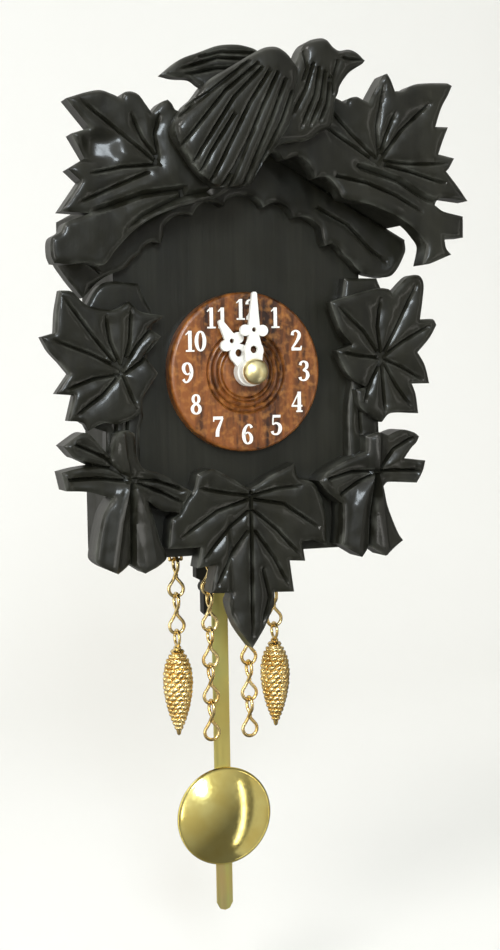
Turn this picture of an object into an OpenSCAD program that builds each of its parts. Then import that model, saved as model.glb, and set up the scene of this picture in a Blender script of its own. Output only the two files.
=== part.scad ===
// Miniature carved wall clock with a short swinging pendulum, key-wound from behind.
// Frame: X right, Y towards the wall, Z up. The hanging hole's centre in the wall plane is the origin.

/* [Case] */
// height of the hanging hole above the dial centre
dial_drop = 40; // [36:44]
// half width of the box behind the carving
case_half = 33; // [32:34]
// thickness of the front, side and roof boards
board = 3; // [2.5:3.5]

/* [Dial and hands] */
// radius of the wooden dial
dial_radius = 20; // [18:21]
// length of the minute hand from its centre
minute_length = 19.7; // [18:20]
// length of the hour hand from its centre
hour_length = 15; // [13:16]
// rest angle of the minute hand, clockwise from twelve
minute_angle = 1.5; // [0:6]
// rest angle of the hour hand, clockwise from twelve
hour_angle = -31; // [-36:0]

/* [Pendulum and chains] */
// depth of the bob below the dial centre
bob_drop = 119; // [115:122]
// radius of the bob
bob_radius = 13.25; // [12:14]
// width of the flat pendulum rod
rod_width = 4.4; // [4:5]
// distance from one chain link to the next
link_pitch = 9.65; // [9.4:9.9]
// wire radius of the chain
wire = 0.4; // [0.35:0.45]

/* [Hidden] */
$fn = 64;
dial_z = -dial_drop;
barrel_at = [14.4 * cos(213.69), 14.4 * sin(213.69)];
third_at = [11.2 * cos(5.4), 11.2 * sin(5.4)];
escape_at = [0, 12];
fourth_at = [8.8, 12];
pallet_at = [0, 19];
motion_at = [12 * cos(30), 12 * sin(30)];
third_turn = atan2(fourth_at[1] - third_at[1], fourth_at[0] - third_at[0]);
pillar_spots = [[-23, 18], [20, 18], [19, -20], [-24, -21]];
block_spots = [[-27.5, -36], [27.5, -36], [-27.5, 27], [27.5, 27]];
strand_x = [-14.2, -5.1, 5.6, 13];
staple_z = -48.3;
loop_r = 2;
loop_gap = 6.5;
chain_y = -17;
rod_y = -10.2;

function spin(p, a) = [p[0] * cos(a) - p[1] * sin(a), p[0] * sin(a) + p[1] * cos(a)];
function roof_at(x) = 57.5 - 0.5376 * abs(x);

// a flat outline in X and Z about the dial centre, given depth from y0 to y1
module slab(y0, y1) {
    translate([0, y1, dial_z]) rotate([90, 0, 0]) linear_extrude(y1 - y0) children();
}

// the same about another point
module slab_at(p, y0, y1) {
    translate([p[0], y1, dial_z + p[1]]) rotate([90, 0, 0]) linear_extrude(y1 - y0) children();
}

module post(p, r, y0, y1) {
    slab_at(p, y0, y1) circle(r = r);
}

module bar(a, b, w) {
    translate(a) rotate(atan2(b[1] - a[1], b[0] - a[0])) translate([0, -w / 2]) square([norm(b - a), w]);
}

// a V cut along a line in a front face at depth y
module vein(a, b, w, y) {
    d = norm(b - a);
    translate([a[0], y, dial_z + a[1]]) rotate([0, -atan2(b[1] - a[1], b[0] - a[0]), 0])
        rotate([45, 0, 0]) translate([0, -w / 2, -w / 2]) cube([d, w, w]);
}

// wheel tooth flank: where a pin of radius pin leaves the gap, offset from the rolling curve
function flank(R, r, pin, turn, s) = let (
    t = turn * r / R,
    p = [(R + r) * cos(t) - r * cos(t + turn), (R + r) * sin(t) - r * sin(t + turn)],
    c = [R * cos(t), R * sin(t)],
    f = p + pin * (c - p) / norm(c - p)
) [f[0], s * f[1]];

function gap(R, r, pin, turn) = [
    flank(R, r, pin, turn, -1), flank(R, r, pin, turn / 2, -1), [R, -pin],
    [R - pin - 0.05, -0.75 * pin], [R - pin - 0.05, 0.75 * pin], [R, pin],
    flank(R, r, pin, turn / 2, 1), flank(R, r, pin, turn, 1)];

// a wheel of N teeth that drives a pinion of n pins, with a gap at angle a
module toothed(N, n, m, pin, turn, a) {
    polygon([for (k = [0 : N - 1]) for (p = gap(N * m / 2, n * m / 2, pin, turn)) spin(p, a + k * 360 / N)]);
}

module hole12(r) {
    circle(r = r / cos(15), $fn = 12);
}

// four windows between the arms of a wheel
module windows(r0, r1, arm) {
    for (q = [0 : 3]) rotate(q * 90 + 20) polygon(concat(
        [for (a = [0 : 15 : 60]) spin([r1, 0], 15 + a)],
        [for (a = [0 : 30 : 60]) spin([r0, 0], 75 - a)]));
}

// pins between two discs, the first pin at angle a
module lantern(p, n, m, pin, a, y0, y1, cheek) {
    r = n * m / 2;
    for (k = [0 : n - 1])
        slab_at(p, y0, y1) translate(spin([r, 0], a + k * 360 / n)) circle(r = pin, $fn = 12);
    slab_at(p, y0, y0 + cheek) circle(r = r + pin + 0.25, $fn = 24 / 2);
    slab_at(p, y1 - cheek, y1) circle(r = r + pin + 0.25, $fn = 24 / 2);
}

// ---- case ----

module front_panel() color([0.17, 0.17, 0.15]) difference() {
    slab(-30, -30 + board) polygon([[-case_half, -46], [case_half, -46], [case_half, roof_at(case_half)],
        [0, roof_at(0)], [-case_half, roof_at(case_half)]]);
    post([0, 0], 3.2, -31, -26);
    for (p = pillar_spots) post(p, 0.6, -29, -26);
}

module side_shape() polygon([[case_half - board, -46], [case_half, -46], [case_half, roof_at(case_half)],
    [case_half - board, roof_at(case_half - board)]]);

module left_side() color([0.2, 0.18, 0.15]) slab(-30 + board, 0) mirror([1, 0]) side_shape();

module right_side() color([0.2, 0.18, 0.15]) slab(-30 + board, 0) side_shape();

module bottom_board() color([0.22, 0.2, 0.16]) difference() {
    slab(-27, -12.5) translate([-30, -46]) square([60, 3]);
    for (x = strand_x) for (s = [-1, 1])
        translate([x + s * 1.6, chain_y, dial_z - 46.1]) cylinder(r = wire, h = 1.6);
}

module roof_shape() polygon([[0, roof_at(0)], [39.5, roof_at(39.5)], [39.5, roof_at(39.5) + 3.4],
    [0, roof_at(0) + 3.4]]);

module roof_left() color([0.19, 0.19, 0.17]) slab(-42, 0) mirror([1, 0]) roof_shape();

module roof_right() color([0.19, 0.19, 0.17]) slab(-42, 0) roof_shape();

lace_side = [[2.5, 43.6], [4.3, 42.5], [5.2, 41], [7, 42], [9.5, 42.2], [12, 41], [13.5, 38.7],
    [15.9, 38.9], [18.5, 38.1], [20.6, 36.2], [21.1, 33.6], [21.9, 31.6], [23.7, 32.1], [25.8, 31.1],
    [27.1, 29.3], [28.9, 28], [31, 25.6], [34.5, 24.2]];

module gable_lace() color([0.16, 0.16, 0.14]) slab(-35, -30) polygon(concat(
    [[0, 44.1]], lace_side, [[40.4, 24.2], [44.3, 30], [44.3, roof_at(44.3)], [0, roof_at(0)],
    [-46.5, roof_at(46.5)], [-48.4, 28], [-46, 23.6], [-41.8, 18.4], [-37.5, 22.5]],
    [for (i = [len(lace_side) - 1 : -1 : 0]) [-lace_side[i][0], lace_side[i][1]]]));

module hanger_board() color([0.3, 0.24, 0.18]) difference() {
    slab(-3, 0) polygon([[-30, 30], [30, 30], [30, roof_at(30)], [8, roof_at(8)], [-8, roof_at(8)],
        [-30, roof_at(30)]]);
    post([0, dial_drop], 3, -4, 1);
}

module rear_rail() color([0.24, 0.2, 0.16]) slab(-9, -6) translate([-30, -46]) square([60, 6]);

module wall_stand_off() color([0.15, 0.15, 0.13]) {
    slab(-9, -6) polygon([[-5.9, -46], [5.9, -46], [5.9, -54.5], [4, -55.5], [4, -64], [3, -65], [-3, -65],
        [-4, -64], [-4, -55.5], [-5.9, -54.5]]);
    post([-1, -58], 1.6, -6, 0);
}

module back_board() color([0.5, 0.38, 0.24]) difference() {
    slab(-12.7, -11.9) polygon([[-30, -43], [30, -43], [30, roof_at(30)], [0, roof_at(0)], [-30, roof_at(30)]]);
    post(barrel_at, 3, -13, -11);
    post(pallet_at, 2.5, -13, -11);
    for (p = pillar_spots) post(p, 2, -13, -11);
    for (p = block_spots) post(p, 0.8, -13, -11);
}

module back_blocks() color([0.45, 0.34, 0.2]) difference() {
    for (p = block_spots) slab_at(p, -18.7, -12.7) translate([-2.5, -3]) square([5, 6]);
    for (p = block_spots) post(p, 0.8, -17.5, -12);
}

module back_screws() color([0.75, 0.7, 0.5]) for (p = block_spots) {
    post(p, 0.8, -17.5, -11.9);
    difference() {
        post(p, 1.6, -11.9, -11.2);
        slab_at(p, -11.5, -11) translate([-2, -0.2]) square([4, 0.4]);
    }
}

// ---- carving ----

crown_edge = [[-48, 63.5], [-43.5, 65], [-40, 65.7], [-37.3, 65], [-34.8, 64], [-34.3, 65.3],
    [-32.5, 65.7], [-30.6, 65], [-29, 63], [-27.5, 61], [-25.2, 63.5], [-23.5, 64.2], [-22.5, 63.3],
    [-21.4, 61.8], [-16, 62], [0, 66], [18, 66.8], [22.4, 65.3], [23, 66.4], [25.1, 67], [26.8, 66.4],
    [28.4, 65.8], [30.6, 69.5], [32.6, 72.6], [33.6, 73], [34.5, 71.6], [35.7, 68.8], [38, 69.1],
    [40.5, 70.5], [43.8, 71.1], [50.1, 71.4], [51.5, 70.8], [50.5, 68.7], [48.4, 65], [46.8, 60.5],
    [50.3, 60.5], [48.8, 57], [47.6, 53.7], [52, 52.8], [50.5, 50.3], [49.7, 49.5], [52.6, 46.2],
    [55.7, 42.2], [48, 42.8], [46.5, 41], [48.8, 39.5], [54.3, 38.3], [54.3, 33], [49, 32.8],
    [49.5, 30.3], [50.9, 28.7], [45, 26.4], [42.8, 26], [43.8, 30.8], [42.2, 33.3], [39.7, 35.8],
    [35.5, 38.3], [31.3, 39.9], [27.2, 41.2], [21.3, 42.2], [20, 44.5], [18.4, 46.6], [16.3, 47.4],
    [14, 47], [13.4, 48.7], [11.8, 51], [9.3, 52.2], [7, 51.4], [5.7, 51.4], [4.3, 52.8], [2.6, 53],
    [0.9, 50.8], [-4, 47], [-11, 42], [-15, 41], [-22, 39], [-28, 36.5], [-33, 33], [-37, 29],
    [-40, 25.5], [-44, 26], [-48.5, 25.6], [-51.8, 25.8], [-52.5, 27.8], [-52.3, 31.4], [-50, 33],
    [-48.9, 35], [-43, 37.3], [-50, 37.7], [-45, 44.7], [-48, 47.4], [-43.7, 50], [-47, 55.5],
    [-42.5, 57]];

module crown_carving() color([0.14, 0.14, 0.12]) difference() {
    slab(-48, -42) polygon(crown_edge);
    vein([-27, 49.5], [-45, 63], 1.1, -48);
    vein([-27, 49.5], [-32.5, 61], 1, -48);
    vein([-27, 49.5], [-42, 46.5], 1, -48);
    vein([-35, 33.5], [-30, 37], 1, -48);
    vein([-30, 37], [-20, 41.5], 1, -48);
    vein([31, 52], [17.5, 64.5], 1.1, -48);
    vein([31, 52], [35.5, 64], 1, -48);
    vein([31, 52], [46, 67], 1.1, -48);
    vein([31, 52], [50, 47], 1, -48);
    vein([23, 46.5], [42, 39.5], 1, -48);
}

module bird() color([0.13, 0.13, 0.12]) {
    slab(-51, -48) polygon([[-25.8, 69.5], [-21.4, 73], [-16.8, 74.9], [-11.8, 76.8], [-7.5, 77.3],
        [-4.3, 77], [-1.6, 76], [3, 70], [-8, 64], [-16.2, 67.4], [-18.5, 68.8], [-22.7, 68.9]]);
    difference() {
        slab(-56, -51) polygon([[1.1, 76.4], [3.6, 75.3], [5.3, 73.5], [6.8, 71], [4.5, 60], [2.3, 55.3],
            [-1.8, 50.3], [-6, 43.9], [-10.2, 43.5], [-14.3, 43.7], [-18.5, 47], [-24.3, 56.2],
            [-21.8, 61.4], [-19.3, 63.7], [-16, 67.6], [-10.6, 71], [-2.3, 75.8]]);
        vein([0, 73], [-18, 52], 1, -56);
        vein([2, 71], [-12, 47], 1, -56);
        vein([-4, 72], [-21, 59], 1, -56);
    }
    slab(-51, -48) polygon([[-2, 50], [3, 54], [10, 55.3], [13.4, 57.4], [15.9, 58.7], [16, 64],
        [0, 70], [-10, 68], [-18, 62], [-20, 56], [-16, 48], [-8, 45.5], [-4, 46]]);
    slab(-54, -51) polygon([[7.4, 74], [8.8, 77], [10.5, 78.7], [13.6, 79.5], [15.3, 79.1], [16.8, 77.6],
        [18.4, 76.8], [20.9, 77.2], [23, 76.6], [25.3, 74.9], [24.7, 74.1], [21.3, 72], [19.7, 70.3],
        [18.4, 68.3], [18, 66.8], [17, 64.5], [16.8, 62], [15.9, 58.7], [13.4, 57.4], [10, 55.3],
        [6.3, 55.1], [2.3, 55.3], [4.5, 60], [6.8, 71]]);
    slab(-51, -48) polygon([[7.4, 74], [8.8, 77], [10.5, 78.7], [13.6, 79.5], [15.3, 79.1], [16.8, 77.6],
        [18, 66.8], [16, 64], [2, 69.2], [6, 72]]);
}

module left_column() color([0.15, 0.15, 0.13]) {
    slab(-34, -30) polygon([[-36.5, 22], [-27.5, 22], [-27, 15], [-27, -10], [-28, -30], [-37, -30],
        [-36.5, -10]]);
    difference() {
        slab(-37, -34) polygon([[-41.5, 16.7], [-45, 19.8], [-48, 20.1], [-49, 15], [-49.4, 10],
            [-52.8, 9.1], [-51, 5.8], [-48.5, 3], [-46.2, 0.2], [-49.6, -4.5], [-45.2, -4.9],
            [-46.8, -11], [-43.2, -11.5], [-41.8, -13.5], [-34, -12], [-28.5, -9.5], [-28, -6],
            [-24, 0], [-23, 9], [-22, 14], [-31, 17.5], [-35, 15.5]]);
        vein([-33, 0.5], [-47, 17.5], 1.1, -37);
        vein([-33, 0.5], [-50, 8], 1, -37);
        vein([-33, 0.5], [-46.5, -3.8], 1, -37);
        vein([-33, 0.5], [-23.5, 12.5], 1, -37);
        vein([-33, 0.5], [-31, 15], 1, -37);
    }
    slab(-34, -30) polygon([[-41.5, 15.5], [-45, 18.6], [-47, 18.6], [-48, 14], [-47, 4], [-45, 0],
        [-46, -4], [-44, -5], [-43.2, -11.5], [-36.5, -10], [-36.5, 15]]);
    slab(-38, -30) polygon([[-35, -14.5], [-30.5, -14.5], [-30, -20], [-28.5, -23], [-26, -23.8],
        [-22, -25.5], [-19, -27.5], [-16, -29.3], [-17.5, -31], [-19.3, -34.3], [-24, -33.5],
        [-27.5, -31], [-26, -36], [-24.8, -40.5], [-23, -45], [-24, -46.3], [-28.5, -48.8],
        [-31.2, -47], [-32.2, -46.3], [-35.5, -48.5], [-39.5, -46.5], [-41, -44.5], [-39, -34.5],
        [-36.5, -30], [-42, -28.3], [-47.8, -27.8], [-48.8, -23.3], [-45, -22.5], [-41, -22],
        [-44.5, -20.3], [-45.8, -19.8], [-48.3, -17], [-43.8, -14.1], [-41.8, -14.3], [-36.5, -20]]);
    post([-31.5, -26], 3.4, -40, -38);
}

module right_column() color([0.15, 0.15, 0.13]) {
    slab(-34, -30) polygon([[36.5, 23.5], [27.5, 23.5], [27, 15], [27, -10], [28, -30], [37, -30],
        [36.5, -10]]);
    difference() {
        slab(-37, -34) polygon([[35.3, 20.8], [38.5, 20.5], [39.3, 19.5], [44, 23.8], [47, 24.1],
            [48.3, 22.5], [48.3, 19.5], [47.3, 12.8], [51, 12.8], [52, 11.3], [50, 8], [46.5, 4.3],
            [48.5, 1], [49.8, -3.8], [44.8, -3.8], [45.8, -6.5], [46.5, -11.5], [38.5, -11.3],
            [36, -13.5], [31, -10.5], [29.5, -8.5], [29, -5], [27, -1.5], [23.5, 5], [28, 6.5],
            [25, 10], [22, 17.3], [26, 18.5]]);
        vein([36, 3], [46.5, 21.5], 1.1, -37);
        vein([36, 3], [50, 10.5], 1, -37);
        vein([36, 3], [47.5, -2.5], 1, -37);
        vein([36, 3], [24, 16], 1, -37);
        vein([36, 3], [36.5, 18], 1, -37);
        vein([36, 3], [43, -10], 1, -37);
    }
    slab(-34, -30) polygon([[36.5, 19.5], [39, 18], [44, 22], [46.5, 22], [46, 12], [49, 10.5], [45, 4],
        [47, -2.5], [43.5, -2.8], [44.5, -10], [36.5, -10]]);
    slab(-38, -30) polygon([[31, -17], [37.5, -17], [37.8, -16.8], [40, -15.9], [42, -15.6],
        [45, -16.5], [46.3, -17.5], [45.5, -19], [43.8, -20.8], [42, -23], [48, -23.8], [47.3, -26.5],
        [45.5, -29.5], [37, -29], [35.8, -30], [37, -35.5], [40, -42.5], [41.3, -44.3], [36, -48],
        [32.5, -45.5], [32, -45.8], [29.5, -48], [23.8, -44.5], [24.3, -40], [24.3, -34], [23.5, -33.5],
        [20, -30.5], [18, -28], [20, -26], [25, -23.3], [31, -21]]);
    post([34.5, -26], 3.4, -40, -38);
}

module bottom_leaf() color([0.14, 0.14, 0.12]) difference() {
    slab(-36, -30) polygon([[0, -29], [12, -23.3], [13, -27], [17, -28.5], [20.3, -36.5], [20.5, -44.5],
        [13.8, -43.3], [14.5, -48.3], [10.3, -48], [11.3, -56], [6, -55.8], [5.8, -59], [3.5, -64],
        [-0.2, -69.6], [-4, -64], [-6, -58], [-5, -55.3], [-11, -55], [-9.5, -48], [-14.5, -48.5],
        [-13.5, -43.3], [-22, -43.3], [-21, -36], [-19, -34.9], [-17.1, -31.4],
        [-15.4, -29.4], [-14.8, -28], [-14, -25], [-10, -24]]);
    vein([0, -30], [0, -68], 1.2, -36);
    vein([3, -33], [18, -38], 1, -36);
    vein([-3, -33], [-18, -40], 1, -36);
    vein([2, -41], [12, -46], 1, -36);
    vein([-2, -41], [-12, -46], 1, -36);
    vein([1.5, -48], [9, -54], 0.9, -36);
    vein([-1.5, -48], [-9, -54], 0.9, -36);
}

// ---- dial and hands ----

module dial() color([0.33, 0.17, 0.08]) translate([0, -30, dial_z]) rotate([90, 0, 0])
    rotate_extrude() polygon([[2.6, 0], [dial_radius, 0], [dial_radius, 2.9], [dial_radius - 0.4, 3.6],
        [dial_radius - 1.2, 4], [10.6, 4], [10.2, 3.6], [9.8, 4], [9.3, 4], [8.9, 3.6], [8.5, 4],
        [7.8, 4], [7.4, 3.6], [7, 4], [6.9, 3.8], [6.5, 3.5], [6.1, 3.8], [2.6, 3.8]]);

// hand outline pointing up: eye at e, cross of lobes at c, point at l
module hand_shape(e, c, l, w) difference() {
    union() {
        circle(r = 3.2, $fn = 64);
        translate([0, e]) circle(r = 2.5, $fn = 64);
        polygon([[-2, 1], [2, 1], [2.4, e], [1.2, c - 0.8], [-1.2, c - 0.8], [-2.4, e]]);
        translate([-w / 2 + 1.4, c]) circle(r = 1.4, $fn = 64);
        translate([w / 2 - 1.4, c]) circle(r = 1.4, $fn = 64);
        translate([0, c]) square([w - 2.8, 2], center = true);
        polygon([[-1.45, c], [1.45, c], [1.45, c + 1.2], [0.6, l - 0.3], [0.3, l], [-0.3, l], [-0.6, l - 0.3],
            [-1.45, c + 1.2]]);
    }
    translate([0, e + 0.3]) circle(r = 0.95, $fn = 64);
    translate([0, c + 0.2]) circle(r = 0.6, $fn = 64);
}

module hour_hand() color([0.95, 0.95, 0.93]) difference() {
    union() {
        slab(-36.6, -35.6) rotate(-hour_angle) hand_shape(5.2, 8.8, hour_length, 6.6);
        post([0, 0], 3.6, -37.4, -34.6);
    }
    post([0, 0], 2.4, -38, -34);
}

module minute_hand() color([0.96, 0.96, 0.94]) difference() {
    union() {
        slab(-39.4, -38.4) rotate(-minute_angle) hand_shape(5.2, 10.2, minute_length, 7.3);
        post([0, 0], 3.3, -40.2, -37.9);
    }
    post([0, 0], 1.65, -41, -37);
}

module hand_nut() color([0.9, 0.74, 0.32]) difference() {
    translate([0, -40.2, dial_z]) intersection() {
        translate([0, 0.8, 0]) sphere(r = 3.3);
        translate([-4, -4, -4]) cube([8, 4, 8]);
    }
    post([0, 0], 0.75, -42, -40);
}

// ---- movement ----

module plate_shape() polygon([[-27, -24], [23, -24], [23, 22], [-27, 22]]);

module front_plate() color([0.86, 0.72, 0.36]) difference() {
    slab(-22, -21.2) plate_shape();
    post([0, 0], 0.8, -23, -21);
    post(barrel_at, 1.25, -23, -21);
    post(third_at, 0.65, -23, -21);
    post(fourth_at, 0.65, -23, -21);
    post(escape_at, 0.65, -23, -21);
    post(pallet_at, 0.65, -23, -21);
    post(motion_at, 0.6, -23, -21);
    post(barrel_at + [-8, 3], 0.6, -23, -21);
    for (p = pillar_spots) post(p, 0.6, -23, -21);
}

module back_plate() color([0.86, 0.72, 0.36]) difference() {
    slab(-13.8, -13) plate_shape();
    post([0, 0], 0.8, -14, -12.9);
    post(barrel_at, 1.25, -14, -12.9);
    post(third_at, 0.65, -14, -12.9);
    post(fourth_at, 0.65, -14, -12.9);
    post(escape_at, 0.65, -14, -12.9);
    post(pallet_at, 0.65, -14, -12.9);
    for (p = pillar_spots) post(p, 0.8, -14, -12.9);
}

module pillars() color([0.8, 0.66, 0.32]) for (p = pillar_spots) {
    difference() {
        post(p, 1.5, -21.2, -13.8);
        post(p, 0.6, -21.3, -18);
    }
    post(p, 0.8, -13.8, -13);
    post(p, 1.5, -13, -12.4);
}

module movement_studs() color([0.7, 0.7, 0.72]) for (p = pillar_spots) {
    post(p, 0.6, -29, -18);
    difference() {
        post(p, 1.5, -27, -22);
        post(p, 0.6, -28, -21);
    }
}

module minute_stud() color([0.7, 0.7, 0.72]) post(motion_at, 0.6, -26.2, -21.2);

module click_work() color([0.62, 0.62, 0.66]) {
    post(barrel_at + [-8, 3], 0.6, -22.2, -21.2);
    slab_at(barrel_at, -23, -22.2) difference() {
        union() {
            translate([-8, 3]) circle(r = 1.4);
            bar([-8, 3], [-3.6, 3.4], 1.3);
        }
        circle(r = 4.45);
    }
    slab_at(barrel_at, -22.8, -22.4) bar([-9, 9.5], [-5.2, 4.05], 0.5);
    slab_at(barrel_at, -22.8, -22) translate([-9, 9.5]) circle(r = 1.1);
}

module centre_arbor() color([0.74, 0.74, 0.77]) {
    slab(-42, -13) circle(r = 0.75, $fn = 12);
    lantern([0, 0], 8, 0.4, 0.25, 213.69 + 180, -21, -19.2, 0.3);
}

module centre_wheel() color([0.88, 0.74, 0.36]) slab(-16, -15.2) difference() {
    toothed(48, 8, 0.4, 0.3, 46, 5.4);
    windows(3, 7.6, 1);
    hole12(0.76);
}

module cannon_pipe() color([0.84, 0.7, 0.34]) difference() {
    post([0, 0], 1.65, -40.2, -22.5);
    post([0, 0], 0.76, -41, -22);
}

module cannon_pinion() color([0.84, 0.7, 0.34]) difference() {
    lantern([0, 0], 12, 0.5, 0.32, 30, -23.9, -22.5, 0.2);
    slab(-25, -22) hole12(1.66);
}

module hour_wheel() color([0.88, 0.74, 0.36]) slab(-25.5, -24.9) difference() {
    toothed(48, 12, 0.4, 0.3, 34, 30);
    windows(4, 7.6, 1);
    hole12(2.41);
}

module hour_pipe() color([0.84, 0.7, 0.34]) difference() {
    post([0, 0], 2.4, -37.4, -24.6);
    post([0, 0], 1.73, -38, -24);
}

module minute_wheel() color([0.86, 0.72, 0.36]) difference() {
    union() {
        slab_at(motion_at, -23.6, -22.8) difference() {
            toothed(36, 12, 0.5, 0.375, 34, 210);
            windows(3, 6.9, 1);
        }
        lantern(motion_at, 12, 0.4, 0.25, 210, -25.9, -24.5, 0.3);
        slab_at(motion_at, -24.5, -22.5) circle(r = 1.6, $fn = 12);
        slab_at(motion_at, -25.9, -24.5) circle(r = 1.25, $fn = 12);
    }
    slab_at(motion_at, -27, -22) hole12(0.66);
}

module great_wheel() color([0.88, 0.74, 0.36]) slab_at(barrel_at, -20.6, -19.6) difference() {
    toothed(64, 8, 0.4, 0.3, 46, 33.69);
    hole12(3.01);
}

module barrel_drum() color([0.84, 0.7, 0.36]) difference() {
    union() {
        post(barrel_at, 3, -20.6, -19.6);
        difference() {
            post(barrel_at, 10.5, -19.6, -16.5);
            post(barrel_at, 9.9, -19.3, -17);
        }
    }
    post(barrel_at, 1.25, -21, -16);
}

function coil(r, a) = [r * cos(a), r * sin(a)];

module mainspring() color([0.4, 0.42, 0.5]) slab_at(barrel_at, -19.1, -17.2) polygon(concat(
    [for (a = [0 : 20 : 1440]) coil(9.6 - 3.8 * a / 1440, a)],
    [for (a = [1440 : -20 : 0]) coil(9.25 - 3.8 * a / 1440, a)]));

module barrel_arbor() color([0.74, 0.74, 0.77]) {
    post(barrel_at, 1.2, -23.4, -5.5);
    post(barrel_at, 3, -19.1, -17.2);
}

module ratchet_wheel() color([0.78, 0.78, 0.8]) slab_at(barrel_at, -23.2, -22.2) difference() {
    polygon([for (k = [0 : 19]) for (p = [[4.2, 0], [3.4, 0.5]]) spin([p[0], 0], k * 18 + p[1])]);
    hole12(1.21);
}

module winding_key() color([0.8, 0.68, 0.38]) difference() {
    union() {
        post(barrel_at, 2, -9, -5);
        slab_at(barrel_at, -6.4, -5.2) difference() {
            union() {
                translate([-4.6, 0]) circle(r = 3.4);
                translate([4.6, 0]) circle(r = 3.4);
                square([9, 3.2], center = true);
            }
            translate([-4.9, 0]) circle(r = 1.6);
            translate([4.9, 0]) circle(r = 1.6);
        }
    }
    post(barrel_at, 1.2, -10, -5.5);
}

module third_arbor() color([0.74, 0.74, 0.77]) {
    slab_at(third_at, -22, -13) circle(r = 0.6, $fn = 12);
    lantern(third_at, 8, 0.4, 0.25, 185.4, -16.4, -14.8, 0.3);
}

module third_wheel() color([0.88, 0.74, 0.36]) slab_at(third_at, -18.5, -17.7) difference() {
    toothed(48, 8, 0.4, 0.3, 46, third_turn);
    windows(3, 7.6, 1);
    hole12(0.61);
}

module fourth_arbor() color([0.74, 0.74, 0.77]) {
    slab_at(fourth_at, -22, -13) circle(r = 0.6, $fn = 12);
    lantern(fourth_at, 8, 0.4, 0.25, third_turn + 180, -18.9, -17.3, 0.3);
}

module fourth_wheel() color([0.88, 0.74, 0.36]) slab_at(fourth_at, -20.5, -19.7) difference() {
    toothed(36, 8, 0.4, 0.3, 46, 180);
    windows(2.6, 5.4, 1);
    hole12(0.61);
}

module escape_arbor() color([0.74, 0.74, 0.77]) {
    slab_at(escape_at, -22, -13) circle(r = 0.6, $fn = 12);
    lantern(escape_at, 8, 0.4, 0.25, 0, -20.9, -19.3, 0.3);
}

module escape_wheel() color([0.9, 0.76, 0.38]) slab_at(escape_at, -17.4, -16.7) difference() {
    polygon([for (k = [0 : 29]) for (p = [[5, 0], [4.2, 2.5], [4.2, 9.5]]) spin([p[0], 0], k * 12 + p[1])]);
    windows(1.6, 3.4, 0.6);
    hole12(0.61);
}

module pallets() color([0.6, 0.6, 0.64]) {
    slab_at(pallet_at, -22, -10.8) circle(r = 0.6, $fn = 12);
    slab_at(pallet_at, -17.4, -16.7) {
        circle(r = 1.5, $fn = 12);
        for (s = [-1, 1]) {
            bar([0, 0], [s * 5.4, -1.6], 1.1);
            bar([s * 5.4, -1.2], [s * 4.15, -2.85], 0.8);
        }
    }
}

// ---- pendulum ----

module pendulum_hook() color([0.8, 0.68, 0.38]) {
    difference() {
        slab_at(pallet_at, -11.6, -10.8) union() {
            circle(r = 1.8, $fn = 12);
            bar([0, 0], [0, -7], 2);
        }
        slab_at(pallet_at, -12, -10) circle(r = 0.6, $fn = 12);
    }
    slab_at(pallet_at + [0, -6], -10.8, -9.2) circle(r = 0.6, $fn = 12);
}

module pendulum_rod() color([0.83, 0.7, 0.38]) difference() {
    slab(rod_y - 0.4, rod_y + 0.4) polygon([[-rod_width / 2, -143], [-1.3, -144.6], [0, -145], [1.3, -144.6],
        [rod_width / 2, -143], [rod_width / 2, 14.5], [1.2, 15.7], [-1.2, 15.7], [-rod_width / 2, 14.5]]);
    slab_at(pallet_at + [0, -6], -12, -8) circle(r = 0.6, $fn = 12);
}

module pendulum_bob() color([0.86, 0.72, 0.3]) translate([0, 0, dial_z - bob_drop]) {
    difference() {
        translate([0, 12.2, 0]) sphere(r = 26.8, $fn = 240);
        translate([0, 12.2, 0]) sphere(r = 26.2, $fn = 240);
        translate([-30, -11.4, -30]) cube([60, 60, 60]);
    }
    translate([0, -10.8, 0]) rotate([90, 0, 0]) difference() {
        cylinder(r = bob_radius, h = 0.6);
        translate([0, 0, -1]) cylinder(r = 11.6, h = 3);
    }
}

module bob_clip() color([0.8, 0.66, 0.34]) translate([0, 0, dial_z - bob_drop]) difference() {
    union() {
        translate([-11.6, -11.4, -1.5]) cube([23.2, 0.6, 3]);
        translate([-3.4, -11.4, -4]) cube([6.8, 2.2, 8]);
    }
    translate([-rod_width / 2 - 0.05, rod_y - 0.45, -5]) cube([rod_width + 0.1, 0.9, 10]);
}

// ---- chains ----

module ring(flat) rotate(flat ? [90, 0, 0] : [0, 90, 0]) rotate_extrude() translate([loop_r, 0]) circle(r = wire);

// one link: top loop across, bottom loop facing front, with a twisted neck between
module link() {
    ring(false);
    translate([0, 0, -loop_gap]) ring(true);
    translate([0, 0, -loop_gap + loop_r]) cylinder(r = 0.6, h = loop_gap - 2 * loop_r);
}

module strand(i, n) color([0.82, 0.66, 0.28]) for (k = [0 : n - 1])
    translate([strand_x[i], chain_y, dial_z + staple_z - 1.15 - k * link_pitch]) link();

module strand_1() strand(0, 2);

module strand_2() strand(1, 5);

module strand_3() strand(2, 5);

module strand_4() strand(3, 2);

module chain_staples() color([0.8, 0.66, 0.3]) for (x = strand_x) {
    for (s = [-1, 1]) translate([x + s * 1.6, chain_y, dial_z + staple_z]) cylinder(r = wire, h = -staple_z - 44.5);
    translate([x - 1.6, chain_y, dial_z + staple_z]) rotate([0, 90, 0]) cylinder(r = wire, h = 3.2);
    for (s = [-1, 1]) translate([x + s * 1.6, chain_y, dial_z + staple_z]) sphere(r = wire);
}

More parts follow.
